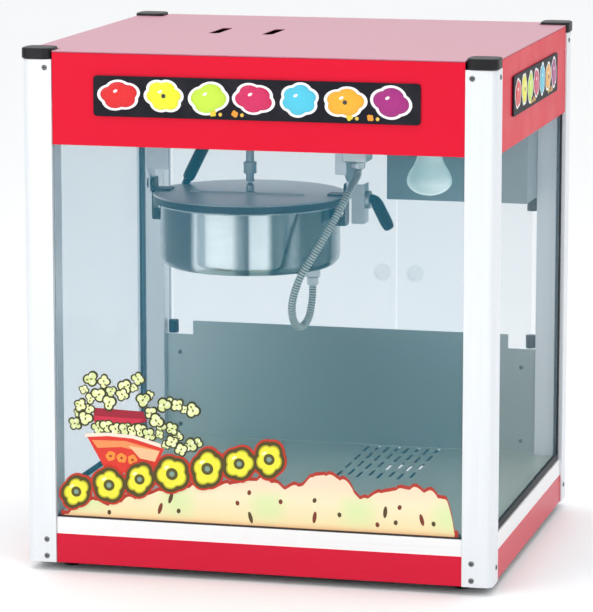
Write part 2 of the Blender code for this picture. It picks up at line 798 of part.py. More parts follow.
# ---------------------------------------------------------------- kettle suspension
def make_hangers():
    top = CEILING - GAP
    half, sheet = HANGER_HALF, HANGER_SHEET
    for name, sign, flange in (("hanger_left", -1, LEFT_FLANGE), ("hanger_right", 1, RIGHT_FLANGE)):
        shoulder = TILT_Z + HANGER_END
        web = [(-half, top), (-half, HANGER_FLANGE_Z), (-HANGER_END, shoulder)]
        web += arc((0.0, TILT_Z), HANGER_END, 180, 360, 10)
        web += [(HANGER_END, shoulder), (half, HANGER_FLANGE_Z), (half, top)]
        hole = ring_hole((0.0, TILT_Z), PIN_RADIUS + GAP)
        x = KETTLE_X + sign * (HANGER_X + sheet / 2)
        hanger = plate(name, "YZ", [web, hole], x, sheet)
        near, far = sorted(KETTLE_X + sign * (HANGER_X + sheet - reach) for reach in (0.0001, flange))
        low, high = (near, -half + 0.0001, HANGER_FLANGE_Z + 0.0004), (far, -half + sheet, top - 0.0001)
        face = box(name + "_face", low, high)
        low, high = (near + 0.0001, -half + 0.0002, top - sheet), (far - 0.0001, half - 0.0002, top - 0.0002)
        foot = box(name + "_foot", low, high)
        keep(join(hanger, face, foot), SILVER)


def whole_lid(name):
    """The lid's full disc as a turned shell: flat top and a short skirt."""
    inner = LID_RADIUS - LID_SHEET
    profile = [
        (0.0, LID_TOP), (LID_RADIUS - 0.0015, LID_TOP), (LID_RADIUS, LID_TOP - 0.0015), (LID_RADIUS, LID_SKIRT),
        (inner, LID_SKIRT), (inner, LID_TOP - LID_SHEET), (0.0, LID_TOP - LID_SHEET),
    ]
    return turned(name, profile, (KETTLE_X, 0.0, 0.0), 56, closed=False)


def lid_cutter(low_y, high_y):
    reach = 2 * LID_RADIUS
    low, high = (KETTLE_X - reach, low_y, LID_SKIRT - 0.02), (KETTLE_X + reach, high_y, LID_TOP + 0.02)
    return box("lid_cutter", low, high)


def make_lids():
    edge = CROSSBAR_HALF
    bar = cut(whole_lid("lid_crossbar"), lid_cutter(-0.2, -edge), lid_cutter(edge, 0.2))
    keep(cut(bar, cylinder("hub_hole", (KETTLE_X, 0.0, LID_TOP), HUB_HOLE, 0.03, "Z", 24)), STEEL)
    rear = keep(cut(whole_lid("lid_rear"), lid_cutter(-0.2, edge + GAP)), STEEL)
    front = cut(whole_lid("lid_front"), lid_cutter(-edge - GAP, 0.2))
    barrel_y = -edge - GAP - LID_BARREL
    join(front, cylinder("lid_barrel", (KETTLE_X, barrel_y, LID_TOP), LID_BARREL, LID_RADIUS * 1.2, "X", 12))
    keep(front, STEEL)
    carry(joint_axis("lid_front_axis", (KETTLE_X, barrel_y, LID_TOP)), front)
    return [bar, rear]


def make_lid_handle():
    foot = Vector((KETTLE_X + HANDLE_FOOT[0], HANDLE_FOOT[1], LID_TOP + GAP))
    lean = Vector(HANDLE_LEAN)
    steps = [
        (-0.10, 0.0045), (0.08, 0.0050), (0.12, 0.0072), (0.20, HANDLE_RADIUS), (0.94, HANDLE_RADIUS), (1.0, 0.0055)
    ]
    handle = evaluated_mesh(tube("lid_handle", [foot + lean * t for t, _ in steps], [r for _, r in steps], 3))
    flat = box("handle_base", foot + Vector((-0.03, -0.03, -0.03)), foot + Vector((0.03, 0.03, 0.0)))
    return keep(cut(handle, flat), BLACK)


# ---------------------------------------------------------------- kettle
def make_jacket():
    outer, wall = POT_RADIUS, POT_WALL
    top = RIM_TOP - RIM_HEIGHT - GAP
    centre = (outer - POT_CORNER, POT_BOTTOM + POT_CORNER)
    outside = [(outer, top)] + arc(centre, POT_CORNER, 0, -90, 5) + [(0.0, POT_BOTTOM)]
    inside = [(0.0, POT_BOTTOM + wall)] + arc(centre, POT_CORNER - wall, -90, 0, 5) + [(outer - wall, top)]
    return keep(turned("kettle_jacket", outside + inside, (KETTLE_X, 0.0, 0.0), 56), STEEL)


def make_pot():
    wall = POT_WALL
    outer = POT_RADIUS - wall - LINER_GAP
    corner = POT_FLOOR_CORNER
    centre = (outer - corner, POT_FLOOR - wall + corner)
    bottom = RIM_TOP - RIM_HEIGHT
    profile = [
        (RIM_RADIUS - 0.0008, RIM_TOP), (RIM_RADIUS, RIM_TOP - 0.0008), (RIM_RADIUS, bottom), (outer, bottom)
    ]
    profile += arc(centre, corner, 0, -90, 4) + [(0.0, POT_FLOOR - wall), (0.0, POT_FLOOR)]
    profile += arc(centre, corner - wall, -90, 0, 4) + [(outer - wall, RIM_TOP)]
    return keep(turned("pot", profile, (KETTLE_X, 0.0, 0.0), 56), STEEL)


def make_heater():
    high = POT_FLOOR - POT_WALL - GAP
    low = high - HEATER_HEIGHT
    profile = [(HEATER_RADIUS, high), (HEATER_RADIUS, low), (HEATER_HOLE, low), (HEATER_HOLE, high)]
    return keep(turned("heater_element", profile, (KETTLE_X, 0.0, 0.0), 32), GREY)


def make_trunnion(name, sign, pin_reach):
    """A side bracket: an upright plate, a foot on the jacket, a ledge over the lid's end, and the pivot pin."""
    near, sheet, half = BRACKET_X, BRACKET_SHEET, BRACKET_HALF

    def span(low, high):
        return sorted((KETTLE_X + sign * low, KETTLE_X + sign * high))

    x = KETTLE_X + sign * (near + sheet / 2)
    outline = rounded((-half, BRACKET_LOW), (half, BRACKET_HIGH), 0.005)
    bracket = plate(name, "YZ", [outline], x, sheet)
    foot_x = span(POT_RADIUS - 0.004, near + 0.0005)
    low, high = (foot_x[0], -half + 0.001, BRACKET_LOW + 0.0005), (foot_x[1], half - 0.001, BRACKET_LOW + 0.012)
    foot = box(name + "_foot", low, high)
    hollow = cylinder(name + "_hollow", (KETTLE_X, 0.0, BRACKET_LOW), POT_RADIUS + GAP, 0.06, "Z", 112)
    ledge_x = span(LEDGE_X, near + 0.0005)
    low = LID_TOP + GAP
    ledge = box(name + "_ledge", (ledge_x[0], -half + 0.001, low), (ledge_x[1], half - 0.001, low + sheet))
    pin_x = span(near + 0.0005, pin_reach)
    pin = cylinder(name + "_pin", (sum(pin_x) / 2, 0.0, TILT_Z), PIN_RADIUS, pin_x[1] - pin_x[0], "X", 16)
    return join(bracket, cut(foot, hollow), ledge, pin)


def make_trunnions():
    outside = HANGER_X + HANGER_SHEET
    left = make_trunnion("trunnion_left", -1, outside + 0.004)
    head_x = KETTLE_X - outside - 0.0025
    keep(join(left, cylinder("pin_head", (head_x, 0.0, TILT_Z), 0.0065, 0.003, "X", 6)), STEEL)
    x0, x1 = TILT_PLATE
    z0, z1 = TILT_PLATE_Z
    half, sheet = BRACKET_HALF, BRACKET_SHEET
    right = make_trunnion("trunnion_right", 1, x1 - 0.0005 - KETTLE_X)
    inside = (x1 - sheet, -half + sheet)
    channel = [(x0, -half), (x1, -half), (x1, half), (inside[0], half), inside, (x0, inside[1])]
    arm = plate("tilt_plate", "XY", [channel], (z0 + z1) / 2, z1 - z0)
    disc_x = (x1 - 0.0005 + TILT_DISC_END) / 2
    length = TILT_DISC_END - x1 + 0.0005
    disc = cylinder("tilt_disc", (disc_x, 0.0, TILT_DISC_Z), TILT_DISC_RADIUS, length, "X", 28)
    keep(join(right, arm, disc), STEEL)
    return [left, right]


def make_grip():
    start = Vector((TILT_DISC_END + GAP, 0.0, TILT_DISC_Z + 0.001))
    steps = [
        (0.0000, 0.0000, 0.0055), (0.0022, 0.0000, 0.0058), (0.0052, -0.0016, 0.0064), (0.0082, -0.0062, GRIP_RADIUS),
        (0.0136, -0.0170, GRIP_RADIUS), (0.0196, -0.0285, GRIP_RADIUS), (0.0228, -0.0345, 0.0066),
        (0.0240, -0.0367, 0.0040),
    ]
    points = [start + Vector((dx, 0.0, dz)) for dx, dz, _ in steps]
    return keep(evaluated_mesh(tube("tilt_grip", points, [r for _, _, r in steps], 3)), BLACK)


def make_gland():
    x, y = KETTLE_X + GLAND_PLACE[0], GLAND_PLACE[1]
    top = POT_BOTTOM - GAP
    profile = [(0.0, top), (0.0095, top), (0.0095, top - 0.008), (0.0072, top - 0.0095)]
    profile += [(0.0072, top - GLAND_LENGTH), (0.0, top - GLAND_LENGTH)]
    return keep(turned("kettle_gland", profile, (x, y, 0.0), 12, closed=False), STEEL)


def make_stirrer():
    """A hub up the kettle's axis, with a round head at the pivot and two bent wires that sweep the floor."""
    low = POT_FLOOR + 0.0012
    dome = [(HUB_RADIUS * math.sin(a), TILT_Z + HUB_RADIUS * math.cos(a)) for a in (0.0, 0.5, 1.05, 1.57)]
    profile = dome + [(HUB_RADIUS, low + 0.012), (0.010, low + 0.009), (0.010, low), (0.0, low)]
    hub = turned("stirrer", profile, (KETTLE_X, 0.0, 0.0), 20, closed=False)
    z = low + STIRRER_WIRE + 0.0005
    for sign in (-1, 1):
        tip = [(STIRRER_REACH, 0.002, z), (STIRRER_REACH, 0.0, z + 0.020)]
        bends = [(0.004, 0.0, z), (0.035, 0.010, z), (0.070, 0.012, z)] + tip
        points = [(KETTLE_X + sign * x, sign * y, height) for x, y, height in bends]
        join(hub, evaluated_mesh(tube("stirrer_wire", points, [STIRRER_WIRE] * 5, 1)))
    carry(joint_axis("stirrer_axis", (KETTLE_X, 0.0, POT_FLOOR)), keep(hub, STEEL))


def make_kettle():
    pieces = [make_jacket(), make_pot(), make_heater(), make_grip(), make_gland(), make_lid_handle()]
    pieces += make_trunnions() + make_lids()
    carry(joint_axis("kettle_tilt_axis", (KETTLE_X, 0.0, TILT_Z)), *pieces)
    make_stirrer()


def make_drive():
    base = CEILING + SHEET + GAP
    top = base + MOTOR_HEIGHT
    body = [
        (0.0, top), (MOTOR_RADIUS - 0.003, top), (MOTOR_RADIUS, top - 0.003), (MOTOR_RADIUS, base + 0.014),
        (MOTOR_FLANGE, base + 0.014), (MOTOR_FLANGE, base), (0.0, base),
    ]
    keep(turned("gear_motor", body, (KETTLE_X, 0.0, 0.0), 28, closed=False), GREY)
    low = TILT_Z + ROD_START
    start, end = COLLAR_Z
    profile = [
        (0.0, base - GAP), (ROD_RADIUS, base - GAP), (ROD_RADIUS, end), (COLLAR_RADIUS, end), (COLLAR_RADIUS, start),
        (ROD_RADIUS, start), (ROD_RADIUS, low), (0.0, low),
    ]
    rod = keep(turned("drive_shaft", profile, (KETTLE_X, 0.0, 0.0), 24, closed=False), SILVER)
    carry(joint_axis("drive_axis", (KETTLE_X, 0.0, CEILING)), rod)


# ---------------------------------------------------------------- armoured lead
def lead_route():
    """Route points, from the connector on the right hanger down to the gland under the kettle."""
    x, y = CONNECTOR_PLACE
    gland_x, gland_y = KETTLE_X + GLAND_PLACE[0], GLAND_PLACE[1]
    gland_z = POT_BOTTOM - 2 * GAP - GLAND_LENGTH
    return [
        (x, y, CONNECTOR_Z[0] - GAP),
        (x, y, CONNECTOR_Z[0] - 0.004),
        (0.0660, -0.0660, 0.4360),
        (0.0530, -0.0870, 0.4050),
        (0.0350, -0.1020, 0.3700),
        (0.0170, -0.1080, 0.3380),
        (0.0060, -0.1010, 0.3050),
        (0.0045, -0.0840, 0.2810),
        (0.0075, -0.0620, 0.2720),
        (0.0110, -0.0400, 0.2790),
        (gland_x, gland_y - 0.0030, gland_z - 0.018),
        (gland_x, gland_y, gland_z - 0.004),
        (gland_x, gland_y, gland_z),
    ]


def make_lead():
    points = smooth_path(lead_route(), 0.012)
    keep(tube("kettle_lead", points, [LEAD_RADIUS] * len(points), 2), STEEL)
    x, y = CONNECTOR_PLACE
    low, high = CONNECTOR_Z
    web = KETTLE_X + HANGER_X + HANGER_SHEET + GAP
    block = box("lead_connector", (web, -0.046, low + 0.009), (x + 0.013, -0.008, high))
    nut = cylinder("connector_nut", (x, y, low + 0.0075), 0.0095, 0.015, "Z", 6)
    keep(join(block, nut), SILVER)


make_posts()
make_panels()
make_roof()
make_floor()
make_glass()
make_signs()
make_apron()
make_doors()
make_drawer()
make_control_box()
make_switches()
make_inlet()
make_lamp()
make_hangers()
make_kettle()
make_drive()
make_lead()
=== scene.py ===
"""The finished look of a table-top popcorn machine: its paint, metal, glass, printing, lead and lighting."""

import json
import math

import bmesh
import bpy
import numpy as np
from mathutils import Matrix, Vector


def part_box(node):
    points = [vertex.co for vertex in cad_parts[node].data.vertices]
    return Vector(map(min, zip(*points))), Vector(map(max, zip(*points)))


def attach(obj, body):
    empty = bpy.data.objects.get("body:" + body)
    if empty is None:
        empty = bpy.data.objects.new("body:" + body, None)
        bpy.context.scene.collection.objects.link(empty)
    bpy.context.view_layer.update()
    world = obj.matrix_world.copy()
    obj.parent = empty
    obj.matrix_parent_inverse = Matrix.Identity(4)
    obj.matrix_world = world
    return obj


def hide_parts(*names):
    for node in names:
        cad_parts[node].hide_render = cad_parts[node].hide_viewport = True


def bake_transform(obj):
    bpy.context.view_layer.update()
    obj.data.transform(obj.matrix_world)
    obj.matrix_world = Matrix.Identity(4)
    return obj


bl_info = {
    "name": "Popcorn machine finish",
    "version": (1, 0, 0),
    "blender": (4, 5, 0),
    "location": "View3D > Sidebar > Popcorn",
    "description": "Paint, metal, glass, printing and lead of a popcorn machine",
    "category": "Object",
}

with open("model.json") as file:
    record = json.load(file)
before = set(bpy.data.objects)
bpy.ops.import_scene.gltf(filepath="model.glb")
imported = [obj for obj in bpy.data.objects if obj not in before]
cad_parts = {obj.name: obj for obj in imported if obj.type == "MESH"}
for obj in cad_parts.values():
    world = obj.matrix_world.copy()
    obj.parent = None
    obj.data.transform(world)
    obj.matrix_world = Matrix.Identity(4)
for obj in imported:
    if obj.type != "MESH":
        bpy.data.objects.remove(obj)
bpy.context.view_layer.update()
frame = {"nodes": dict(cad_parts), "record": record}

# Where things stand on the machine, in metres.
KETTLE = (-0.072, 0.0)
CONNECTOR = (0.070, -0.030, 0.4612)
GLAND = (0.0125, -0.024, 0.3179)
BASE_BAND_TOP = 0.0455
PANE_FRONT = -0.243
SIGN_Z = 0.5665


# ---------------------------------------------------------------- shader maths
class Value:
    """A shader socket that takes part in ordinary arithmetic."""

    def __init__(self, finish, socket):
        self.finish = finish
        self.socket = socket

    def joined(self, operation, first, second=0.0):
        return self.finish.add("ShaderNodeMath", {"operation": operation}, {0: first, 1: second})

    def __add__(self, other):
        return self.joined("ADD", self, other)

    def __radd__(self, other):
        return self.joined("ADD", other, self)

    def __sub__(self, other):
        return self.joined("SUBTRACT", self, other)

    def __rsub__(self, other):
        return self.joined("SUBTRACT", other, self)

    def __mul__(self, other):
        return self.joined("MULTIPLY", self, other)

    def __rmul__(self, other):
        return self.joined("MULTIPLY", other, self)

    def __truediv__(self, other):
        return self.joined("DIVIDE", self, other)

    def __pow__(self, other):
        return self.joined("POWER", self, other)

    def __gt__(self, other):
        return self.joined("GREATER_THAN", self, other)

    def size(self):
        return self.joined("ABSOLUTE", self)

    def sharpened(self, low, high):
        """0 below low, 1 above high, a ramp between."""
        values = {"Value": self, "From Min": low, "From Max": high}
        return self.finish.add("ShaderNodeMapRange", {"clamp": True}, values, "Result")


class Finish:
    """One material, and the shader nodes that give it its surface."""

    def __init__(self, name, roughness=0.5, metallic=0.0, **fixed):
        self.material = bpy.data.materials.new(name)
        self.material.use_nodes = True
        self.tree = self.material.node_tree
        self.shader = self.tree.nodes["Principled BSDF"]
        self.set(Roughness=roughness, Metallic=metallic, **fixed)

    def set(self, **values):
        for name, value in values.items():
            socket = self.shader.inputs[name.replace("_", " ")]
            self.put(socket, value)
        return self

    def put(self, socket, value):
        if isinstance(value, Value):
            self.tree.links.new(value.socket, socket)
        elif hasattr(socket.default_value, "__len__") and len(value) + 1 == len(socket.default_value):
            socket.default_value = (*value, 1.0)
        else:
            socket.default_value = value

    def add(self, kind, settings=None, values=None, output=0):
        node = self.tree.nodes.new(kind)
        for name, value in (settings or {}).items():
            if name == "stops":
                while len(node.color_ramp.elements) < len(value):
                    node.color_ramp.elements.new(0.5)
                for stop, (place, colour) in zip(node.color_ramp.elements, value):
                    stop.position = place
                    stop.color = (*colour, 1.0)
            else:
                setattr(node, name, value)
        for name, value in (values or {}).items():
            self.put(node.inputs[name], value)
        return Value(self, node.outputs[output])

    def place(self):
        return self.add("ShaderNodeTexCoord", output="Object")

    def along(self, axis):
        return self.add("ShaderNodeSeparateXYZ", values={0: self.place()}, output="XYZ".index(axis))

    def stretched(self, scale):
        return self.add("ShaderNodeMapping", values={"Vector": self.place(), "Scale": scale})

    def noise(self, scale, detail=3.0, stretch=None, roughness=0.55):
        where = self.stretched(stretch) if stretch else self.place()
        values = {"Vector": where, "Scale": scale, "Detail": detail, "Roughness": roughness}
        return self.add("ShaderNodeTexNoise", values=values, output="Fac")

    def joined_angle(self, y, x):
        """The bearing round an upright axis, as 0 to 1 for one full turn."""
        bearing = self.add("ShaderNodeMath", {"operation": "ARCTAN2"}, {0: y, 1: x})
        return bearing / (2 * math.pi) + 0.5

    def mixed(self, amount, first, second):
        """Colours blended by amount."""
        node = self.tree.nodes.new("ShaderNodeMix")
        node.data_type = "RGBA"
        colours = [socket for socket in node.inputs if socket.type == "RGBA"]
        self.put(node.inputs[0], amount)
        self.put(colours[0], first)
        self.put(colours[1], second)
        return Value(self, [socket for socket in node.outputs if socket.type == "RGBA"][0])

    def bumped(self, height, depth):
        bump = self.add("ShaderNodeBump", values={"Height": height, "Distance": depth, "Strength": 1.0})
        return self.set(Normal=bump)


def painted_reflection_stops():
    """The kettle wall's painted reflections: bright, middle, dark and greenish shades, each at its bearing
    round the kettle in degrees.
    """
    bright = (0.86, 0.92, 0.92)
    middle = (0.32, 0.36, 0.36)
    dark = (0.06, 0.07, 0.075)
    green = (0.06, 0.085, 0.07)
    marks = (
        (-180, middle), (-166, dark), (-152, middle), (-140, dark), (-115, dark),
        (-111, bright), (-86, bright), (-82, middle), (-76, dark), (-74, bright),
        (-64, bright), (-60, green), (-46, middle), (-40, green), (-12, green),
        (2, middle), (14, green), (40, dark), (60, bright), (84, middle),
        (110, dark), (134, bright), (152, middle), (180, middle),
    )
    return tuple(((degrees + 180) / 360, shade) for degrees, shade in marks)


def tinted(colour, amount):
    return tuple(min(1.0, c * amount) for c in colour)


def gloss_paint(name, colour, roughness=0.36):
    """Baked gloss paint: faint orange peel, slight shade drift and finger dulling."""
    finish = Finish(name, Coat_Weight=0.06, Coat_Roughness=0.12, Specular_IOR_Level=0.16)
    drift = finish.noise(5.0, 4.0)
    smudge = finish.noise(16.0, 5.0).sharpened(0.35, 0.75)
    peel = finish.noise(420.0, 2.0)
    finish.set(Base_Color=finish.mixed(drift, tinted(colour, 0.94), tinted(colour, 1.05)))
    finish.set(Roughness=smudge * 0.09 + roughness)
    return finish.bumped(peel, 0.00006)


def roof_paint(colour):
    """The roof's gloss: its colour paled with blue-grey as a painted sheen, varied by dust, and a strong
    sheen at low angles.
    """
    finish = Finish("roof_paint", Coat_Weight=0.45, Coat_Roughness=0.3, Specular_IOR_Level=0.5)
    dust = finish.noise(6.0, 6.0)
    peel = finish.noise(420.0, 2.0)
    # Painted sheen: both colours are the red paled towards blue-grey, standing in for the bright
    # surroundings reflected at low angles.
    clean_paled_by_sheen = tuple(0.52 * c + grey for c, grey in zip(colour, (0.10, 0.14, 0.19)))
    dusty_paled_by_sheen = tuple(0.48 * c + grey for c, grey in zip(colour, (0.14, 0.20, 0.27)))
    finish.set(Base_Color=finish.mixed(dust, clean_paled_by_sheen, dusty_paled_by_sheen))
    finish.set(Roughness=dust * 0.12 + 0.34)
    return finish.bumped(peel, 0.00004)


def banded_paint(name, colour, rail):
    """The base panels: a painted band below and the bare rail above it."""
    finish = gloss_paint(name, colour)
    mask = finish.along("Z") > BASE_BAND_TOP
    drift = finish.noise(5.0, 4.0)
    streaks = finish.noise(3.0, 4.0, (1.0, 1.0, 260.0))
    painted = finish.mixed(drift, tinted(colour, 0.94), tinted(colour, 1.05))
    metal = finish.mixed(streaks, tinted(rail, 0.94), tinted(rail, 1.03))
    finish.set(Base_Color=finish.mixed(mask, painted, metal))
    finish.set(Metallic=mask * 0.35, Roughness=mask * 0.12 + 0.3, Coat_Weight=(1.0 - mask) * 0.06)
    return finish


def drawn_metal(name, colour, roughness, stretch, metallic=1.0, depth=0.00002):
    """Sheet or extrusion with fine lines from drawing or brushing along one way."""
    finish = Finish(name, metallic=metallic)
    lines = finish.noise(1.0, 5.0, stretch, 0.7)
    cloud = finish.noise(9.0, 4.0)
    finish.set(Base_Color=finish.mixed(lines, tinted(colour, 0.9), tinted(colour, 1.08)))
    finish.set(Roughness=lines * 0.12 + cloud * 0.08 + (roughness - 0.1))
    return finish.bumped(lines, depth)


def spun_metal(name, colour, roughness, centre, depth=0.00002):
    """Steel turned on a lathe: fine rings round an upright axis."""
    finish = Finish(name, metallic=1.0)
    x = finish.along("X") - centre[0]
    y = finish.along("Y") - centre[1]
    radius = (x * x + y * y) ** 0.5
    height = finish.along("Z")
    where = finish.add("ShaderNodeCombineXYZ", values={0: radius * 900.0, 1: height * 900.0, 2: 0.0})
    rings = finish.add("ShaderNodeTexNoise", values={"Vector": where, "Scale": 1.0, "Detail": 4.0})
    cloud = finish.noise(14.0, 5.0)
    finish.set(Base_Color=finish.mixed(cloud, tinted(colour, 0.9), tinted(colour, 1.08)))
    finish.set(Roughness=rings * 0.1 + cloud * 0.1 + (roughness - 0.1))
    return finish.bumped(rings, depth)


def polished_wall(name):
    """The kettle's polished wall: bright and dark upright bands painted into its colour by bearing, as
    painted reflections of the studio round it.
    """
    finish = Finish(name, metallic=1.0)
    x, y = finish.along("X") - KETTLE[0], finish.along("Y") - KETTLE[1]
    turn = finish.joined_angle(y, x)
    wave = finish.noise(3.0, 3.0, (1.0, 1.0, 0.4))
    # Painted reflection: the base colour runs through bright and dark bands by bearing round the kettle.
    bands = finish.add("ShaderNodeValToRGB", {"stops": painted_reflection_stops()}, {"Fac": turn + wave * 0.006})
    scratches = finish.noise(1.0, 4.0, (25.0, 25.0, 260.0))
    finish.set(Base_Color=finish.mixed(scratches * 0.25, bands, (0.42, 0.46, 0.46)))
    finish.set(Roughness=scratches * 0.1 + 0.11)
    return finish


def moulded(name, colour, roughness=0.45, grain=900.0, depth=0.00005):
    """Moulded plastic or rubber with a fine spark-eroded grain."""
    finish = Finish(name, Specular_IOR_Level=0.25)
    fine = finish.noise(grain, 2.0)
    dust = finish.noise(30.0, 5.0).sharpened(0.5, 0.85)
    finish.set(Base_Color=finish.mixed(dust * 0.5, colour, tuple(c * 0.8 + 0.035 for c in colour)))
    finish.set(Roughness=fine * 0.14 + dust * 0.08 + (roughness - 0.07))
    return finish.bumped(fine, depth)


def clear_pane(name, tint, alpha):
    """Clear sheet: a faint tint, and a slightly uneven film on the surface."""
    finish = Finish(name, roughness=0.03, IOR=1.5)
    film = finish.noise(7.0, 5.0)
    finish.set(Base_Color=finish.mixed(film, tinted(tint, 0.9), tinted(tint, 1.1)))
    finish.set(Alpha=film * 0.02 + (alpha - 0.01), Roughness=film * 0.04 + 0.01)
    finish.material.surface_render_method = "BLENDED"
    return finish


def printed(name, roughness=0.35):
    """Ink laid on a sheet, coloured by the shape's own colours."""
    finish = Finish(name, Specular_IOR_Level=0.25)
    ink = finish.add("ShaderNodeAttribute", {"attribute_name": "ink"}, output="Color")
    speck = finish.noise(700.0, 2.0)
    finish.set(Base_Color=finish.mixed(speck * 0.03, ink, (0.97, 0.95, 0.9)))
    finish.set(Roughness=speck * 0.15 + roughness)
    return finish.bumped(speck, 0.00003)


# ---------------------------------------------------------------- meshes
def add_object(name, mesh, finish):
    obj = bpy.data.objects.new(name, mesh)
    bpy.context.scene.collection.objects.link(obj)
    mesh.materials.clear()
    mesh.materials.append(finish.material)
    return obj


def settled(obj):
    """The object with its modifiers made part of a plain mesh."""
    bpy.context.view_layer.update()
    graph = bpy.context.evaluated_depsgraph_get()
    ready = obj.evaluated_get(graph)
    mesh = bpy.data.meshes.new_from_object(ready, preserve_all_data_layers=True, depsgraph=graph)
    obj.modifiers.clear()
    old = obj.data
    obj.data = mesh
    if old.users == 0:
        bpy.data.meshes.remove(old)
    return obj


def smoothed(mesh, angle=35):
    for polygon in mesh.polygons:
        polygon.use_smooth = True
    mesh.set_sharp_from_angle(angle=math.radians(angle))


def break_edges(obj, width, segments, angle=35):
    edges = obj.modifiers.new("broken edges", "BEVEL")
    edges.width = width
    edges.segments = segments
    edges.limit_method = "ANGLE"
    edges.angle_limit = math.radians(angle)
    edges.harden_normals = True
    return edges


def refined(node, finish, width=0.0005, segments=2, angle=35):
    """A solid part with its faces joined up, its edges broken and its curves smooth."""
    mesh = frame["nodes"][node].data.copy()
    work = bmesh.new()
    work.from_mesh(mesh)
    bmesh.ops.remove_doubles(work, verts=work.verts, dist=2e-6)
    bmesh.ops.dissolve_limit(work, angle_limit=math.radians(0.6), verts=work.verts, edges=work.edges)
    work.to_mesh(mesh)
    work.free()
    obj = add_object(node + "_finish", mesh, finish)
    smoothed(mesh, angle)
    if width:
        break_edges(obj, width, segments, angle)
    even = obj.modifiers.new("even shading", "WEIGHTED_NORMAL")
    even.keep_sharp = True
    even.weight = 80
    settled(obj)
    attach(obj, body_of(node))
    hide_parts(node)
    return obj


def body_of(node):
    for body, members in BODIES.items():
        if node in members:
            return body
    raise ValueError(f"no body holds {node}")


BODIES = frame["record"]["behaviour"]["bodies"]


def finish_nodes(finish, *nodes):
    """Gives solid parts that stay as they are their finish."""
    for node in nodes:
        mesh = frame["nodes"][node].data
        mesh.materials.clear()
        mesh.materials.append(finish.material)


def lathe(name, profile, finish, centre, steps=96, closed=True, angle=32):
    """A closed profile of (radius, height) turned about an upright axis."""
    work = bmesh.new()
    rings = []
    for radius, height in profile:
        if radius < 1e-6:
            rings.append([work.verts.new((centre[0], centre[1], height))])
            continue
        ring = []
        for i in range(steps):
            a = 2 * math.pi * i / steps
            x, y = centre[0] + radius * math.cos(a), centre[1] + radius * math.sin(a)
            ring.append(work.verts.new((x, y, height)))
        rings.append(ring)
    pairs = list(zip(rings, rings[1:])) + ([(rings[-1], rings[0])] if closed else [])
    for first, second in pairs:
        for i in range(steps):
            j = (i + 1) % steps
            corners = [first[i % len(first)], first[j % len(first)]]
            corners += [second[j % len(second)], second[i % len(second)]]
            unique = list(dict.fromkeys(corners))
            if len(unique) > 2:
                work.faces.new(unique)
    bmesh.ops.recalc_face_normals(work, faces=work.faces)
    mesh = bpy.data.meshes.new(name)
    work.to_mesh(mesh)
    work.free()
    obj = add_object(name, mesh, finish)
    smoothed(mesh, angle)
    return obj


def arc(across, up, radius, first, last, count):
    """Points on a circle about (across, up); the angle runs from straight down towards outwards."""
    angles = np.linspace(first, last, count)
    return [(across + radius * math.sin(a), up - radius * math.cos(a)) for a in angles]


def softened(points, radius, steps=4):
    """A profile whose corners are rounded by up to radius."""
    found = []
    for i, point in enumerate(points):
        before, here, after = (Vector(points[i - 1]), Vector(point), Vector(points[(i + 1) % len(points)]))
        into, out = here - before, after - here
        if i in (0, len(points) - 1) or into.length < 1e-6 or out.length < 1e-6:
            found.append(tuple(here))
            continue
        reach = min(radius, into.length * 0.45, out.length * 0.45)
        start, end = here - into.normalized() * reach, here + out.normalized() * reach
        for j in range(steps + 1):
            t = j / steps
            found.append(tuple(start.lerp(here, t).lerp(here.lerp(end, t), t)))
    return found


def strip(name, low, high, finish, body, width=0.0006):
    """A bar with rounded edges between two corners."""
    work = bmesh.new()
    bmesh.ops.create_cube(work, size=1.0)
    for vert in work.verts:
        vert.co = [a + (b - a) * (c + 0.5) for a, b, c in zip(low, high, vert.co)]
    mesh = bpy.data.meshes.new(name)
    work.to_mesh(mesh)
    work.free()
    obj = add_object(name, mesh, finish)
    edges = obj.modifiers.new("rounded edges", "BEVEL")
    edges.width = width
    edges.segments = 3
    settled(obj)
    smoothed(obj.data)
    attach(obj, body)
    return obj


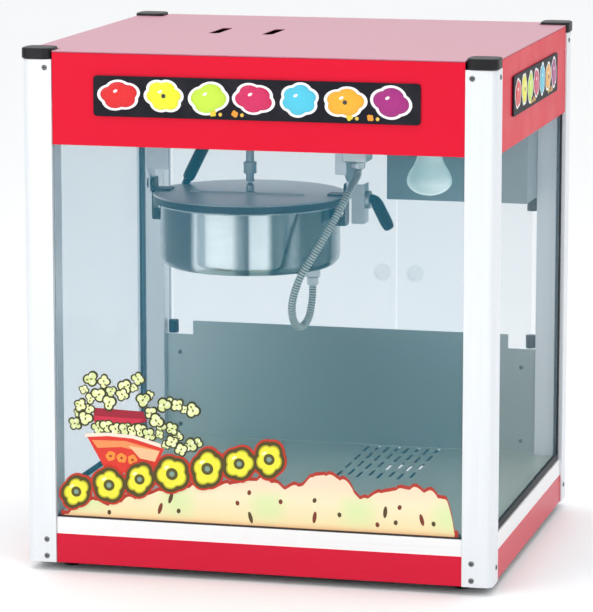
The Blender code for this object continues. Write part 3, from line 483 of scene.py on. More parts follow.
# ---------------------------------------------------------------- printed shapes
class Printing:
    """Shapes laid on a flat face: each is a closed relief with a colour at every corner."""

    def __init__(self, face, side):
        self.face = face
        self.side = side
        self.points = []
        self.faces = []
        self.inks = []
        self.layer = 0

    def at(self, across, up, out):
        if self.side == "front":
            return (across, self.face - out, up)
        return (self.face + out, across, up)

    def relief(self, rings, inks, low):
        """Rings of (across, up, out) from the outline inwards, closed by a flat back at low."""
        count = len(rings[0])
        start = len(self.points)
        for ring, ink in zip([[(a, u, low) for a, u, _ in rings[0]]] + rings, [inks[0]] + inks):
            self.points += [self.at(*p) for p in ring]
            self.inks += [ink for _ in ring]
        for k in range(len(rings)):
            base = start + k * count
            for i in range(count):
                j = (i + 1) % count
                self.faces.append((base + i, base + j, base + count + j, base + count + i))
        self.faces.append(tuple(start + i for i in reversed(range(count))))
        last = start + len(rings) * count
        self.faces.append(tuple(last + i for i in range(count)))

    def flat(self, outline, ink, thick=0.00006):
        """A flat shape; each new one lies over those before it."""
        self.layer += 1
        top = self.layer * 0.000004 + thick
        self.relief([[(a, u, top) for a, u in outline]], [ink], -top)

    def puffed(self, outline, ink, base, height):
        """A pillowed shape, standing out from its face."""
        middle = Vector([sum(c) / len(outline) for c in zip(*outline)])
        rings, inks = [], []
        steps = ((1.0, 0.0, 0.8), (0.97, 0.45, 0.92), (0.86, 0.8, 1.0), (0.62, 0.97, 1.04), (0.3, 1.0, 1.08))
        for scale, rise, shade in steps:
            ring = [middle.lerp(Vector(p), scale) for p in outline]
            rings.append([(p.x, p.y, base + height * rise) for p in ring])
            inks.append(tinted(ink, shade))
        self.relief(rings, inks, -0.0002)

    def finish(self, name, finish, body="cabinet"):
        mesh = bpy.data.meshes.new(name)
        mesh.from_pydata(self.points, [], self.faces)
        mesh.validate()
        ink = mesh.color_attributes.new("ink", "FLOAT_COLOR", "POINT")
        ink.data.foreach_set("color", np.array([(*c, 1.0) for c in self.inks], np.float32).reshape(-1))
        work = bmesh.new()
        work.from_mesh(mesh)
        bmesh.ops.recalc_face_normals(work, faces=work.faces)
        work.to_mesh(mesh)
        work.free()
        obj = add_object(name, mesh, finish)
        smoothed(mesh, 40)
        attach(obj, body)
        return obj


def blossom(centre, size, lobes=5, turn=0.0, steps=40, depth=0.2):
    """The outline of a popped kernel: round lobes with creases between them."""
    found = []
    for i in range(steps):
        angle = 2 * math.pi * i / steps
        lobe = abs(math.sin(lobes * angle / 2 + turn)) ** 0.7
        wobble = 1.0 + 0.06 * math.sin(2 * angle + 3.1 * turn)
        radius = size * (1.0 - depth + depth * lobe) * wobble
        found.append((centre[0] + radius * math.cos(angle), centre[1] + radius * math.sin(angle)))
    return found


def slanted(outline, centre, lean):
    """The outline, taller than wide and leaning over."""
    found = []
    for a, u in outline:
        across, up = a - centre[0], u - centre[1]
        found.append((centre[0] + across * 0.98 + up * lean, u + up * 0.06))
    return found


def widened(outline, centre, amount):
    return [(centre[0] + (a - centre[0]) * amount, u) for a, u in outline]


def disc(centre, size, steps=14, squash=1.0, turn=0.0):
    found = []
    for i in range(steps):
        angle = 2 * math.pi * i / steps
        x, y = size * math.cos(angle), size * squash * math.sin(angle)
        across = x * math.cos(turn) - y * math.sin(turn)
        up = x * math.sin(turn) + y * math.cos(turn)
        found.append((centre[0] + across, centre[1] + up))
    return found


# ---------------------------------------------------------------- what a user may change
class PopcornLooks(bpy.types.PropertyGroup):
    """Colours and sizes of the finish."""

    header_red: bpy.props.FloatVectorProperty(
        name="Header red", description="Paint of the header and the roof", subtype="COLOR", size=3,
        default=(0.75, 0.003, 0.029),
    )
    base_red: bpy.props.FloatVectorProperty(
        name="Base red", description="Paint of the band round the base", subtype="COLOR", size=3,
        default=(0.68, 0.008, 0.04),
    )
    glass_tint: bpy.props.FloatVectorProperty(
        name="Glass tint", description="Colour of the clear panes", subtype="COLOR", size=3,
        default=(0.02, 0.32, 0.50),
    )
    steel: bpy.props.FloatVectorProperty(
        name="Steel", description="Colour of the stainless sheets", subtype="COLOR", size=3,
        default=(0.42, 0.48, 0.47),
    )
    lead_radius: bpy.props.FloatProperty(
        name="Lead radius", description="Outer radius of the armoured lead", default=0.0048, unit="LENGTH"
    )
    rib_pitch: bpy.props.FloatProperty(
        name="Rib pitch", description="Spacing of the armour's ribs", default=0.0034, unit="LENGTH"
    )
    screw_radius: bpy.props.FloatProperty(
        name="Screw radius", description="Radius of the frame's screw heads", default=0.0034, unit="LENGTH"
    )


def looks():
    return bpy.context.scene.popcorn_looks


# ---------------------------------------------------------------- armoured lead
def lead_route():
    x, y, z = CONNECTOR
    gx, gy, gz = GLAND
    return [
        (x, y, z), (x, y, z - 0.0037),
        (0.0660, -0.0660, 0.4360), (0.0530, -0.0870, 0.4050), (0.0350, -0.1020, 0.3700),
        (0.0170, -0.1080, 0.3380), (0.0060, -0.1010, 0.3050), (0.0045, -0.0840, 0.2810),
        (0.0075, -0.0620, 0.2720), (0.0110, -0.0400, 0.2790),
        (gx, gy - 0.0030, gz - 0.018), (gx, gy, gz - 0.004), (gx, gy, gz),
    ]


def smooth_path(points, spacing):
    """Points about `spacing` apart on a curve through the given points."""
    knots = [Vector(p) for p in points]
    ends = [knots[0] * 2 - knots[1]] + knots + [knots[-1] * 2 - knots[-2]]
    found = []
    for p0, p1, p2, p3 in zip(ends, ends[1:], ends[2:], ends[3:]):
        t1 = (p1 - p0).length ** 0.5
        t2 = t1 + (p2 - p1).length ** 0.5
        t3 = t2 + (p3 - p2).length ** 0.5
        count = max(1, round((p2 - p1).length / spacing))
        for i in range(count):
            t = t1 + (t2 - t1) * i / count
            a1 = p0.lerp(p1, t / t1)
            a2 = p1.lerp(p2, (t - t1) / (t2 - t1))
            a3 = p2.lerp(p3, (t - t2) / (t3 - t2))
            b1 = a1.lerp(a2, t / t2)
            b2 = a2.lerp(a3, (t - t1) / (t3 - t1))
            found.append(b1.lerp(b2, (t - t1) / (t2 - t1)))
    return found + [knots[-1]]


def tube_mesh(name, points, radius_at, sides=20):
    """A closed tube along points, its radius given by the length so far."""
    work = bmesh.new()
    rings, run = [], 0.0
    up = Vector((1.0, 0.0, 0.0))
    for i, point in enumerate(points):
        if i:
            run += (point - points[i - 1]).length
        ahead = (points[min(i + 1, len(points) - 1)] - points[max(i - 1, 0)]).normalized()
        side = ahead.cross(up).normalized()
        up = side.cross(ahead).normalized()
        radius = radius_at(run)
        ring = []
        for k in range(sides):
            a = 2 * math.pi * k / sides
            ring.append(work.verts.new(point + (side * math.cos(a) + up * math.sin(a)) * radius))
        rings.append(ring)
    for first, second in zip(rings, rings[1:]):
        for k in range(sides):
            j = (k + 1) % sides
            work.faces.new((first[k], first[j], second[j], second[k]))
    work.faces.new(reversed(rings[0]))
    work.faces.new(rings[-1])
    bmesh.ops.recalc_face_normals(work, faces=work.faces)
    mesh = bpy.data.meshes.new(name)
    work.to_mesh(mesh)
    work.free()
    return mesh


def path_length(points):
    return sum((b - a).length for a, b in zip(points, points[1:]))


def make_lead():
    values = looks()
    pitch, radius = values.rib_pitch, values.lead_radius
    points = smooth_path(lead_route(), pitch / 6)

    def ribbed(run):
        return radius - 0.0011 * (0.5 + 0.5 * math.cos(2 * math.pi * run / pitch)) ** 2

    mesh = tube_mesh("lead_armour", points, ribbed)
    sides = (len(mesh.vertices)) // len(points)
    runs = np.cumsum([0.0] + [(b - a).length for a, b in zip(points, points[1:])])
    # Painted shade: this value is 1 in the hollows between the ribs and 0 on their crowns.
    shade = np.repeat((0.5 + 0.5 * np.cos(2 * np.pi * runs / pitch)) ** 2, sides)
    groove = mesh.attributes.new("groove", "FLOAT", "POINT")
    groove.data.foreach_set("value", shade.astype(np.float32))
    armour = drawn_metal("lead_armour", (0.66, 0.70, 0.65), 0.3, (220.0, 220.0, 220.0), metallic=0.6)
    painted_groove_shade = armour.add("ShaderNodeAttribute", {"attribute_name": "groove"}, output="Fac")
    wear = armour.noise(90.0, 4.0)
    crown = armour.mixed(wear, (0.60, 0.64, 0.58), (0.80, 0.83, 0.76))
    # Painted shade: the base colour darkens to near black in the grooves between the ribs.
    armour.set(Base_Color=armour.mixed(painted_groove_shade, crown, (0.10, 0.12, 0.12)))
    obj = add_object("lead_armour", mesh, armour)
    smoothed(mesh, 60)
    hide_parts("kettle_lead")
    coarse = smooth_path(lead_route(), 0.012)
    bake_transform(obj)
    path_length(coarse)


# ---------------------------------------------------------------- stage
def make_stage():
    scene = bpy.context.scene
    camera = bpy.data.objects.new("camera", bpy.data.cameras.new("camera"))
    camera.data.lens = 210.8
    camera.data.sensor_width = 36.0
    camera.data.clip_end = 60.0
    camera.location = (1.033, -4.186, 1.026)
    camera.rotation_euler = (math.radians(90 - 9.73), 0.0, math.radians(14.04))
    scene.collection.objects.link(camera)
    scene.camera = camera

    floor_finish = Finish("pale_floor", roughness=0.6)
    mottle = floor_finish.noise(1.5, 2.0)
    floor_finish.set(Base_Color=floor_finish.mixed(mottle, (0.93, 0.93, 0.935), (0.95, 0.95, 0.95)))
    work = bmesh.new()
    bmesh.ops.create_grid(work, x_segments=1, y_segments=1, size=12.0)
    mesh = bpy.data.meshes.new("floor")
    work.to_mesh(mesh)
    work.free()
    add_object("floor", mesh, floor_finish)

    scene.view_settings.view_transform = "Standard"
    make_sky(scene)
    for name, place, aim, size, power, colour in (
        ("overhead", (0.0, -0.9, 3.0), (0.0, 0.1, 0.3), (2.4, 1.6), 22.0, (1.0, 1.0, 1.0)),
        ("left_softbox", (-1.35, -2.6, 1.35), (0.0, 0.0, 0.35), (1.3, 1.5), 24.0, (1.0, 0.99, 0.97)),
        ("right_softbox", (1.75, -2.4, 1.4), (0.0, 0.0, 0.3), (0.8, 1.5), 16.0, (0.98, 0.99, 1.0)),
    ):
        light = bpy.data.lights.new(name, "AREA")
        light.shape = "RECTANGLE"
        light.size, light.size_y = size
        light.energy = power
        light.color = colour
        lamp = bpy.data.objects.new(name, light)
        lamp.location = place
        lamp.rotation_euler = (Vector(aim) - Vector(place)).to_track_quat("-Z", "Y").to_euler()
        scene.collection.objects.link(lamp)


def make_sky(scene):
    """A studio that is bright behind and overhead and dim towards the front."""
    world = bpy.data.worlds.new("studio")
    scene.world = world
    world.use_nodes = True
    tree = world.node_tree
    background = tree.nodes["Background"]
    background.inputs["Color"].default_value = (0.985, 0.992, 1.0, 1.0)
    direction = tree.nodes.new("ShaderNodeTexCoord")
    parts = tree.nodes.new("ShaderNodeSeparateXYZ")
    tree.links.new(direction.outputs["Generated"], parts.inputs[0])
    ramps = []
    for axis, low, high, dim, bright in (("Y", -0.15, 0.35, 0.10, 0.85), ("Z", 0.45, 0.85, 0.0, 1.0)):
        ramp = tree.nodes.new("ShaderNodeMapRange")
        ramp.interpolation_type = "SMOOTHSTEP"
        for socket, value in (("From Min", low), ("From Max", high), ("To Min", dim), ("To Max", bright)):
            ramp.inputs[socket].default_value = value
        tree.links.new(parts.outputs[axis], ramp.inputs["Value"])
        ramps.append(ramp)
    total = tree.nodes.new("ShaderNodeMath")
    tree.links.new(ramps[0].outputs["Result"], total.inputs[0])
    tree.links.new(ramps[1].outputs["Result"], total.inputs[1])
    tree.links.new(total.outputs[0], background.inputs["Strength"])


# ---------------------------------------------------------------- frame, panels, glass
def make_posts():
    aluminium = drawn_metal("post_aluminium", (0.84, 0.875, 0.91), 0.42, (500.0, 500.0, 5.0), metallic=0.25)
    black = moulded("cap_plastic", (0.012, 0.012, 0.014), 0.42)
    rubber = moulded("foot_rubber", (0.012, 0.012, 0.012), 0.7)
    for corner in ("front_left", "front_right", "rear_left", "rear_right"):
        refined("post_" + corner, aluminium, 0.0006)
        refined("post_cap_" + corner, black, 0.0008, 3)
        refined("foot_" + corner, rubber, 0.0006)


def make_panels():
    values = looks()
    header = gloss_paint("header_paint", values.header_red)
    base = banded_paint("base_paint", values.base_red, (0.95, 0.955, 0.96))
    for side in ("front", "left", "right", "rear"):
        refined("header_" + side, header, 0.0006)
        refined("base_" + side, base, 0.0006)
    refined("roof_sheet", roof_paint(values.header_red), 0.0005)


def make_glass():
    values = looks()
    pane = clear_pane("cabinet_glass", values.glass_tint, 0.128)
    finish_nodes(pane, "glass_front", "glass_left", "glass_right")
    rubber = moulded("gasket_rubber", (0.03, 0.035, 0.04), 0.6)
    for name, sign in (("left", -1), ("right", 1)):
        near, far = sorted((sign * 0.2732, sign * 0.2752))
        strip("gasket_low_" + name, (near, -0.2136, 0.0653), (far, 0.2136, 0.0735), rubber, "cabinet")
        strip("gasket_rear_" + name, (near, 0.2085, 0.0737), (far, 0.2136, 0.5075), rubber, "cabinet")
    low, high = (-0.2434, -0.2450, 0.0653), (0.2434, -0.2432, 0.0668)
    strip("gasket_low_front", low, high, rubber, "cabinet", 0.0003)


def make_floor():
    values = looks()
    sheet = drawn_metal("floor_steel", (0.52, 0.58, 0.48), 0.34, (6.0, 700.0, 700.0), metallic=0.6)
    dull = drawn_metal("plate_steel", (0.3, 0.32, 0.33), 0.45, (6.0, 500.0, 500.0), metallic=0.6)
    finish_nodes(sheet, "floor_tray")
    apron = drawn_metal("apron_steel", values.steel, 0.34, (6.0, 700.0, 700.0), metallic=0.6)
    refined("rear_apron", apron, 0.0004)
    finish_nodes(dull, "base_plate", "ceiling_plate")


# ---------------------------------------------------------------- front print and signs
HEAP_TOP = (
    (-0.2353, 0.0660), (-0.2222, 0.0771), (-0.1995, 0.0862), (-0.1819, 0.0809), (-0.1641, 0.0882),
    (-0.1288, 0.0980), (-0.0873, 0.1083), (-0.0492, 0.1116), (-0.0176, 0.1168), (0.0107, 0.1243),
    (0.0295, 0.1129), (0.0546, 0.1174), (0.0639, 0.1272), (0.0795, 0.1318), (0.1013, 0.1277),
    (0.1137, 0.1175), (0.1231, 0.1025), (0.1386, 0.1111), (0.1695, 0.1190), (0.1849, 0.1214),
    (0.2064, 0.1179), (0.2249, 0.1082), (0.2311, 0.0900), (0.2344, 0.0702),
)
HEAP_FOOT = 0.0670
KERNELS = (
    (-0.1803, 0.0731), (-0.1178, 0.0813), (-0.0954, 0.0794), (-0.0240, 0.0928), (-0.0083, 0.0765),
    (0.0279, 0.0973), (0.0686, 0.1011), (0.0686, 0.0809), (0.0983, 0.0856), (0.1434, 0.0764),
    (0.1526, 0.0918), (0.1696, 0.0983), (0.1650, 0.0801), (0.1958, 0.0850), (0.2097, 0.0811),
    (-0.0098, 0.1061), (-0.1049, 0.0946),
)
FLYING = (
    (-0.2013, 0.2321), (-0.1853, 0.2297), (-0.1598, 0.2247), (-0.1437, 0.2348), (-0.1918, 0.2138),
    (-0.1630, 0.2152), (-0.1376, 0.2102), (-0.2144, 0.2002), (-0.1791, 0.2051), (-0.2211, 0.1779),
    (-0.2082, 0.1849), (-0.1281, 0.1951), (-0.1122, 0.2052), (-0.0963, 0.2059), (-0.0773, 0.2007),
    (-0.1028, 0.1776), (-0.1218, 0.1860), (-0.1029, 0.1620), (-0.0807, 0.1585), (-0.0918, 0.1532),
)
LOOSE = (
    (-0.2100, 0.2190), (-0.1770, 0.2185), (-0.1490, 0.2245), (-0.2020, 0.2090), (-0.2170, 0.1910),
    (-0.2040, 0.1960), (-0.1240, 0.1880), (-0.1160, 0.1790), (-0.0870, 0.2010), (-0.1040, 0.2080),
    (-0.1180, 0.1700), (-0.0960, 0.1690), (-0.1100, 0.1580), (-0.0720, 0.1620), (-0.1300, 0.2160),
)
IN_TUB = (
    (-0.1930, 0.1740), (-0.1826, 0.1767), (-0.1715, 0.1735), (-0.1602, 0.1747), (-0.1500, 0.1725),
    (-0.1410, 0.1741), (-0.1310, 0.1690),
)
WARM_EDGE = (0.48, 0.035, 0.018)
OLIVE = (0.035, 0.04, 0.008)
CREAM = (0.84, 0.89, 0.44)


def heap_height(x):
    xs = [p[0] for p in HEAP_TOP]
    return float(np.interp(x, xs, [p[1] for p in HEAP_TOP]))


def heap_ink(x, up):
    """Peach at the foot, cream above, with pale green patches along the heap."""
    levels = (0.066, 0.074, 0.100, 0.125)
    inks = ((0.94, 0.56, 0.26), (0.95, 0.80, 0.46), (0.95, 0.86, 0.58), (0.96, 0.74, 0.56))
    green = max(0.0, math.sin(x * 58.0 + 0.9)) * max(0.0, 1.0 - ((up - 0.090) / 0.022) ** 2)
    warm = [float(np.interp(up, levels, [ink[k] for ink in inks])) for k in range(3)]
    return tuple(a + (b - a) * 0.75 * green for a, b in zip(warm, (0.70, 0.88, 0.42)))


def heap_outline(grow):
    """The heap's outline: its foot, then a scalloped top from right to left."""
    left, right = HEAP_TOP[0][0] - grow, HEAP_TOP[-1][0] + grow
    foot = HEAP_FOOT - 0.0008 if grow else HEAP_FOOT
    count = 260
    top = []
    for i in range(count + 1):
        x = right + (left - right) * i / count
        scallop = 0.0032 * abs(math.sin(math.pi * x / 0.0165)) ** 0.6 + 0.0012 * math.sin(x * 310.0)
        height = heap_height(min(max(x, HEAP_TOP[0][0]), HEAP_TOP[-1][0]))
        top.append((x, max(foot + 0.0005, height - 0.0015 + scallop + grow)))
    return foot, top


def heap_sheet(art, grow, ink):
    """Narrow upright bands that fill the heap's outline."""
    foot, top = heap_outline(grow)
    art.layer += 1
    out = art.layer * 0.000004 + 0.00006
    rows = 8
    for (x0, z0), (x1, z1) in zip(top, top[1:]):
        start = len(art.points)
        for x, z in ((x1, z1), (x0, z0)):
            for row in range(rows + 1):
                up = foot + (z - foot) * row / rows
                for level in (-out, out):
                    art.points.append(art.at(x, up, level))
                    art.inks.append(ink if isinstance(ink, tuple) else ink(x, up))
        side = 2 * (rows + 1)
        for row in range(rows):
            a, b = start + 2 * row, start + side + 2 * row
            art.faces += [(a + 1, b + 1, b + 3, a + 3), (a, a + 2, b + 2, b)]
            art.faces += [(a, a + 1, a + 3, a + 2), (b, b + 2, b + 3, b + 1)]
        a, b = start, start + side
        art.faces += [(a, b, b + 1, a + 1), (a + side - 2, a + side - 1, b + side - 1, b + side - 2)]


def popped(art, centre, size, seed, edge=OLIVE):
    """One popped kernel: dark outline, pale lobes and a few creases."""
    turn = 1.7 * seed
    lobes = 3 + seed % 2
    art.flat(blossom(centre, size * 1.12, lobes, turn, 32, 0.36), edge)
    art.flat(blossom(centre, size * 0.88, lobes, turn, 32, 0.46), CREAM if seed % 3 else (0.72, 0.80, 0.36))
    for k in range(4):
        angle = turn + 1.7 * k
        reach = 0.5 if k else 0.05
        spot = (centre[0] + reach * size * math.cos(angle), centre[1] + reach * size * math.sin(angle))
        share, ink = (0.24, (0.97, 0.97, 0.80)) if k % 2 else (0.2, (0.10, 0.11, 0.02))
        art.flat(disc(spot, size * share, 8, 0.55, angle), ink)


def make_front_print():
    art = Printing(PANE_FRONT, "front")
    heap_sheet(art, 0.0042, WARM_EDGE)
    heap_sheet(art, 0.0, heap_ink)
    for i, (x, z) in enumerate(KERNELS):
        long = 3.0 if i % 3 == 1 else 1.25
        ink = (0.20, 0.03, 0.008) if i % 2 else (0.09, 0.05, 0.012)
        art.flat(disc((x, z), 0.0024, 12, long, 0.3 * math.sin(5.0 * i)), ink)
    rise = Vector((0.0895, -0.0111)).normalized()
    opening = [(-0.2000, 0.1980), (-0.1377, 0.1961), (-0.1330, 0.1840), (-0.1500, 0.1800), (-0.1960, 0.1800)]
    art.flat(opening, (0.35, 0.008, 0.03))
    lip = [(x, z - 0.003) for x, z in opening[3:]] + [(-0.2010, 0.1885), (-0.1370, 0.1870)]
    art.flat(lip, (0.62, 0.02, 0.06))
    for i, place in enumerate(IN_TUB):
        popped(art, place, 0.0085, i + 3)
    tub = [(-0.2072, 0.1640), (-0.1600, 0.1652), (-0.1120, 0.1540), (-0.1260, 0.1240), (-0.1820, 0.1200)]
    art.flat(tub, (0.75, 0.035, 0.02))
    band = [(-0.2010, 0.1590), (-0.1600, 0.1600), (-0.1180, 0.1500)]
    band += [(-0.1215, 0.1445), (-0.1650, 0.1525), (-0.1940, 0.1500)]
    art.flat(band, (0.90, 0.30, 0.10))
    corner = [(-0.1560, 0.1545), (-0.1180, 0.1500), (-0.1240, 0.1370), (-0.1420, 0.1400)]
    art.flat(corner, (0.95, 0.55, 0.30))
    rim = [(-0.2085, 0.1665), (-0.1800, 0.1690), (-0.1500, 0.1675), (-0.1110, 0.1570)]
    art.flat(rim + [(x - 0.001, z - 0.0042) for x, z in reversed(rim)], (0.97, 0.80, 0.66))
    for i in range(3):
        centre = Vector((-0.178, 0.141)) + rise * (0.0135 * i)
        art.flat(blossom(centre, 0.0062, 5, 0.7 * i, 24), (0.95, 0.30, 0.04))
        art.flat(disc(centre, 0.0018, 8), (0.45, 0.04, 0.01))
    for i, place in enumerate(LOOSE):
        popped(art, place, 0.0068 if i % 2 else 0.0058, i + 5)
    for i, place in enumerate(FLYING):
        popped(art, place, 0.0080 if i % 2 else 0.0090, i)
    row = [
        (-0.2204, 0.0961), (-0.1800, 0.1060), (-0.1425, 0.1150), (-0.1030, 0.1235), (-0.0600, 0.1320),
        (-0.0215, 0.1400), (0.0145, 0.1470),
    ]
    sizes = (0.0156, 0.0170, 0.0158, 0.0182, 0.0182, 0.0168, 0.0168)
    lean = 0.10
    for grow, ink in ((0.0060, (0.58, 0.030, 0.012)), (0.0038, (0.085, 0.06, 0.008))):
        for i, (place, size) in enumerate(zip(row, sizes)):
            art.flat(slanted(blossom(place, size + grow, 5, 0.9 * i, 40, 0.10), place, lean), ink)
    for i, (place, size) in enumerate(zip(row, sizes)):
        for grow, ink in ((0.0, (0.52, 0.50, 0.015)), (-0.0018, (0.90, 0.86, 0.05))):
            art.flat(slanted(blossom(place, size + grow, 5, 0.9 * i, 50, 0.2), place, lean), ink)
        glint = (place[0] - size * 0.35, place[1] + size * 0.42)
        art.flat(disc(glint, size * 0.2, 12, 0.5, 0.5), (0.97, 0.96, 0.55))
        art.flat(disc(place, size * 0.40, 16), (0.10, 0.085, 0.012))
        art.flat(disc(place, size * 0.18, 12), (0.22, 0.36, 0.30))
    art.finish("front_print", printed("glass_print"))


SIGN_INKS = (
    (0.72, 0.015, 0.02), (0.86, 0.83, 0.03), (0.55, 0.78, 0.06), (0.62, 0.02, 0.11),
    (0.08, 0.55, 0.74), (0.86, 0.42, 0.03), (0.36, 0.02, 0.20),
)


def make_signs():
    panel = moulded("sign_panel", (0.003, 0.003, 0.010), 0.55)
    sign_ink = printed("sign_ink", 0.22)
    for node, face, side, spacing, middle in (
        ("sign_front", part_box("sign_front")[0][1], "front", 0.0535, -0.0015),
        ("sign_right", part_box("sign_right")[1][0], "right", 0.0395, 0.0),
    ):
        refined(node, panel, 0.0004)
        art = Printing(face, side)
        size, wide = 0.0166, min(1.30, spacing / 0.0415)
        for i, ink in enumerate(SIGN_INKS):
            place = (middle + (i - 3) * spacing, SIGN_Z + 0.0012 + 0.0008 * math.sin(2.2 * i))
            turn, lobes = 0.8 * i + 0.4, (5, 6, 4, 5, 6, 5, 4)[i]
            edge = blossom(place, size + 0.0027, lobes, turn, 60, 0.13)
            body = blossom(place, size, lobes, turn, 60, 0.17)
            art.flat(widened(edge, place, wide), (0.95, 0.94, 0.95))
            art.puffed(widened(body, place, wide), ink, 0.0001, 0.0007)
            glint = (place[0] - size * 0.25, place[1] + size * 0.30)
            art.flat(disc(glint, size * 0.17, 12, 0.6, 0.5), (0.97, 0.9, 0.9), 0.0009)
            if i in (1, 5):
                art.flat(disc(place, size * 0.16, 12), (0.05, 0.05, 0.05), 0.0009)
        for i, step in enumerate((-0.9, -0.42, 2.1, 2.55)):
            spot = (middle + step * spacing, SIGN_Z - 0.0165)
            ink = (0.85, 0.33, 0.03) if i % 2 else (0.85, 0.62, 0.05)
            art.flat(blossom(spot, 0.0042, 4, i, 20, 0.3), ink)
            art.flat(disc((spot[0] + 0.0085, spot[1] - 0.0012), 0.0022, 10), (0.85, 0.55, 0.10))
        art.finish(node + "_print", sign_ink)


# ---------------------------------------------------------------- kettle
def make_kettle():
    spun = spun_metal("kettle_steel", (0.52, 0.57, 0.57), 0.13, KETTLE)
    liner = spun_metal("pot_steel", (0.55, 0.58, 0.58), 0.24, KETTLE)
    black = moulded("grip_plastic", (0.012, 0.013, 0.015), 0.38)
    wall = 0.0012
    quarter = math.pi / 2

    radius, bottom, top, corner = 0.110, 0.3365, 0.4111, 0.014
    outside = arc(radius - corner, bottom + corner, corner, 0.0, quarter, 10)
    inside = arc(radius - corner, bottom + corner, corner - wall, quarter, 0.0, 10)
    profile = [(0.0, bottom)] + outside + [(radius, top), (radius - wall, top)] + inside
    profile += [(0.0, bottom + wall)]
    shell = lathe("kettle_shell", profile, polished_wall("kettle_wall"), KETTLE, 128, closed=False)
    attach(shell, "kettle")
    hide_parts("kettle_jacket")
    outer, floor, rim, corner = 0.1075, 0.3523, 0.4138, 0.010
    roll = arc(outer + 0.0038, rim - wall, wall, math.pi, 0.0, 9)
    under = arc(outer - corner, floor + corner, corner, quarter, 0.0, 8)
    inner = arc(outer - corner, floor + corner, corner - wall, 0.0, quarter, 8)
    profile = [(outer - wall, rim)] + roll + [(outer, rim - 2 * wall)] + under
    profile += [(0.0, floor), (0.0, floor + wall)] + inner
    bowl = lathe("pot_bowl", profile, liner, KETTLE, 128, closed=True)
    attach(bowl, "kettle")
    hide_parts("pot")
    finish_nodes(drawn_metal("element_metal", (0.25, 0.24, 0.23), 0.5, (60.0, 60.0, 60.0)), "heater_element")
    refined("kettle_gland", drawn_metal("gland_metal", (0.62, 0.63, 0.63), 0.3, (60.0, 60.0, 400.0)), 0.0004)
    refined("tilt_grip", black, 0.0005, 2, 30)
    refined("lid_handle", black, 0.0005, 2, 30)
    refined("stirrer", spun, 0.0003)

    bracket = Finish("bracket_metal")
    inside_mask = (bracket.along("X") > 0.0525).size()
    speckle = bracket.noise(160.0, 4.0)
    bracket.set(Base_Color=bracket.mixed(inside_mask, (0.025, 0.028, 0.03), (0.46, 0.50, 0.51)))
    bracket.set(Metallic=inside_mask * 0.9, Roughness=speckle * 0.16 + 0.28)
    bracket.bumped(speckle, 0.00004)
    refined("trunnion_left", bracket, 0.0005)
    refined("trunnion_right", bracket, 0.0005)


def make_lids():
    satin = spun_metal("lid_steel", (0.6, 0.68, 0.72), 0.40, KETTLE, 0.00004)
    # Painted shade: the lid's skirt below the top face is near black and less metallic, standing in for the
    # shade under the lid's edge.
    painted_skirt_shade = 1.0 - (satin.along("Z") > 0.4228)
    cloud = satin.noise(14.0, 5.0)
    top = satin.mixed(cloud, (0.80, 0.86, 0.88), (0.92, 0.96, 0.98))
    satin.set(Base_Color=satin.mixed(painted_skirt_shade, top, (0.022, 0.027, 0.03)), Metallic=0.9 - painted_skirt_shade * 0.7)
    refined("lid_crossbar", satin, 0.0003)
    refined("lid_rear", satin, 0.0003)
    refined("lid_front", satin, 0.0003)


def make_drive():
    zinc = drawn_metal("zinc_strap", (0.66, 0.69, 0.72), 0.32, (300.0, 300.0, 6.0))
    refined("hanger_left", zinc, 0.0004)
    refined("hanger_right", zinc, 0.0004)
    cast = drawn_metal("connector_metal", (0.72, 0.74, 0.74), 0.34, (120.0, 120.0, 120.0), depth=0.0001)
    refined("lead_connector", cast, 0.0022, 3)
    rod = Finish("rod_steel")
    grain = rod.noise(1.0, 4.0, (900.0, 900.0, 40.0))
    rod.set(Base_Color=rod.mixed(grain * 0.6, (0.34, 0.38, 0.40), (0.46, 0.50, 0.52)))
    rod.set(Metallic=0.8, Roughness=grain * 0.14 + 0.26)
    refined("drive_shaft", rod, 0.0004)
    refined("gear_motor", moulded("motor_paint", (0.10, 0.11, 0.12), 0.5, 300.0), 0.0008)


# ---------------------------------------------------------------- rear
def make_rear():
    values = looks()
    clear = clear_pane("door_sheet", values.glass_tint, 0.06)
    hinge = moulded("hinge_plastic", (0.012, 0.013, 0.015), 0.4)
    for side, sign in (("left", -1), ("right", 1)):
        finish_nodes(clear, "door_" + side)
        finish_nodes(clear, "door_knob_" + side)
        x = sign * 0.2355
        top = 0.506 if side == "left" else 0.397
        for name, z in (("low", 0.2045), ("high", top - 0.0165)):
            low, high, radius = z - 0.0002, z + 0.0166, 0.0064
            shape = softened([(0.0, high), (radius, high), (radius, low), (0.0, low)], 0.001, 3)
            cup = lathe(f"hinge_{name}_{side}", shape, hinge, (x, 0.2295), 32, closed=False)
            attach(cup, "door_" + side)
    pressed = drawn_metal("drawer_steel", values.steel, 0.34, (6.0, 700.0, 700.0), metallic=0.6)
    refined("crumb_drawer", pressed, 0.0003)


def make_controls():
    refined("control_box", moulded("box_paint", (0.34, 0.42, 0.44), 0.5, 500.0), 0.0008, 3)
    black = moulded("switch_plastic", (0.012, 0.012, 0.014), 0.3)
    for name in ("switch_heat", "switch_stir", "switch_lamp"):
        refined(name, black, 0.0006, 3)
    refined("power_inlet", black, 0.0005)


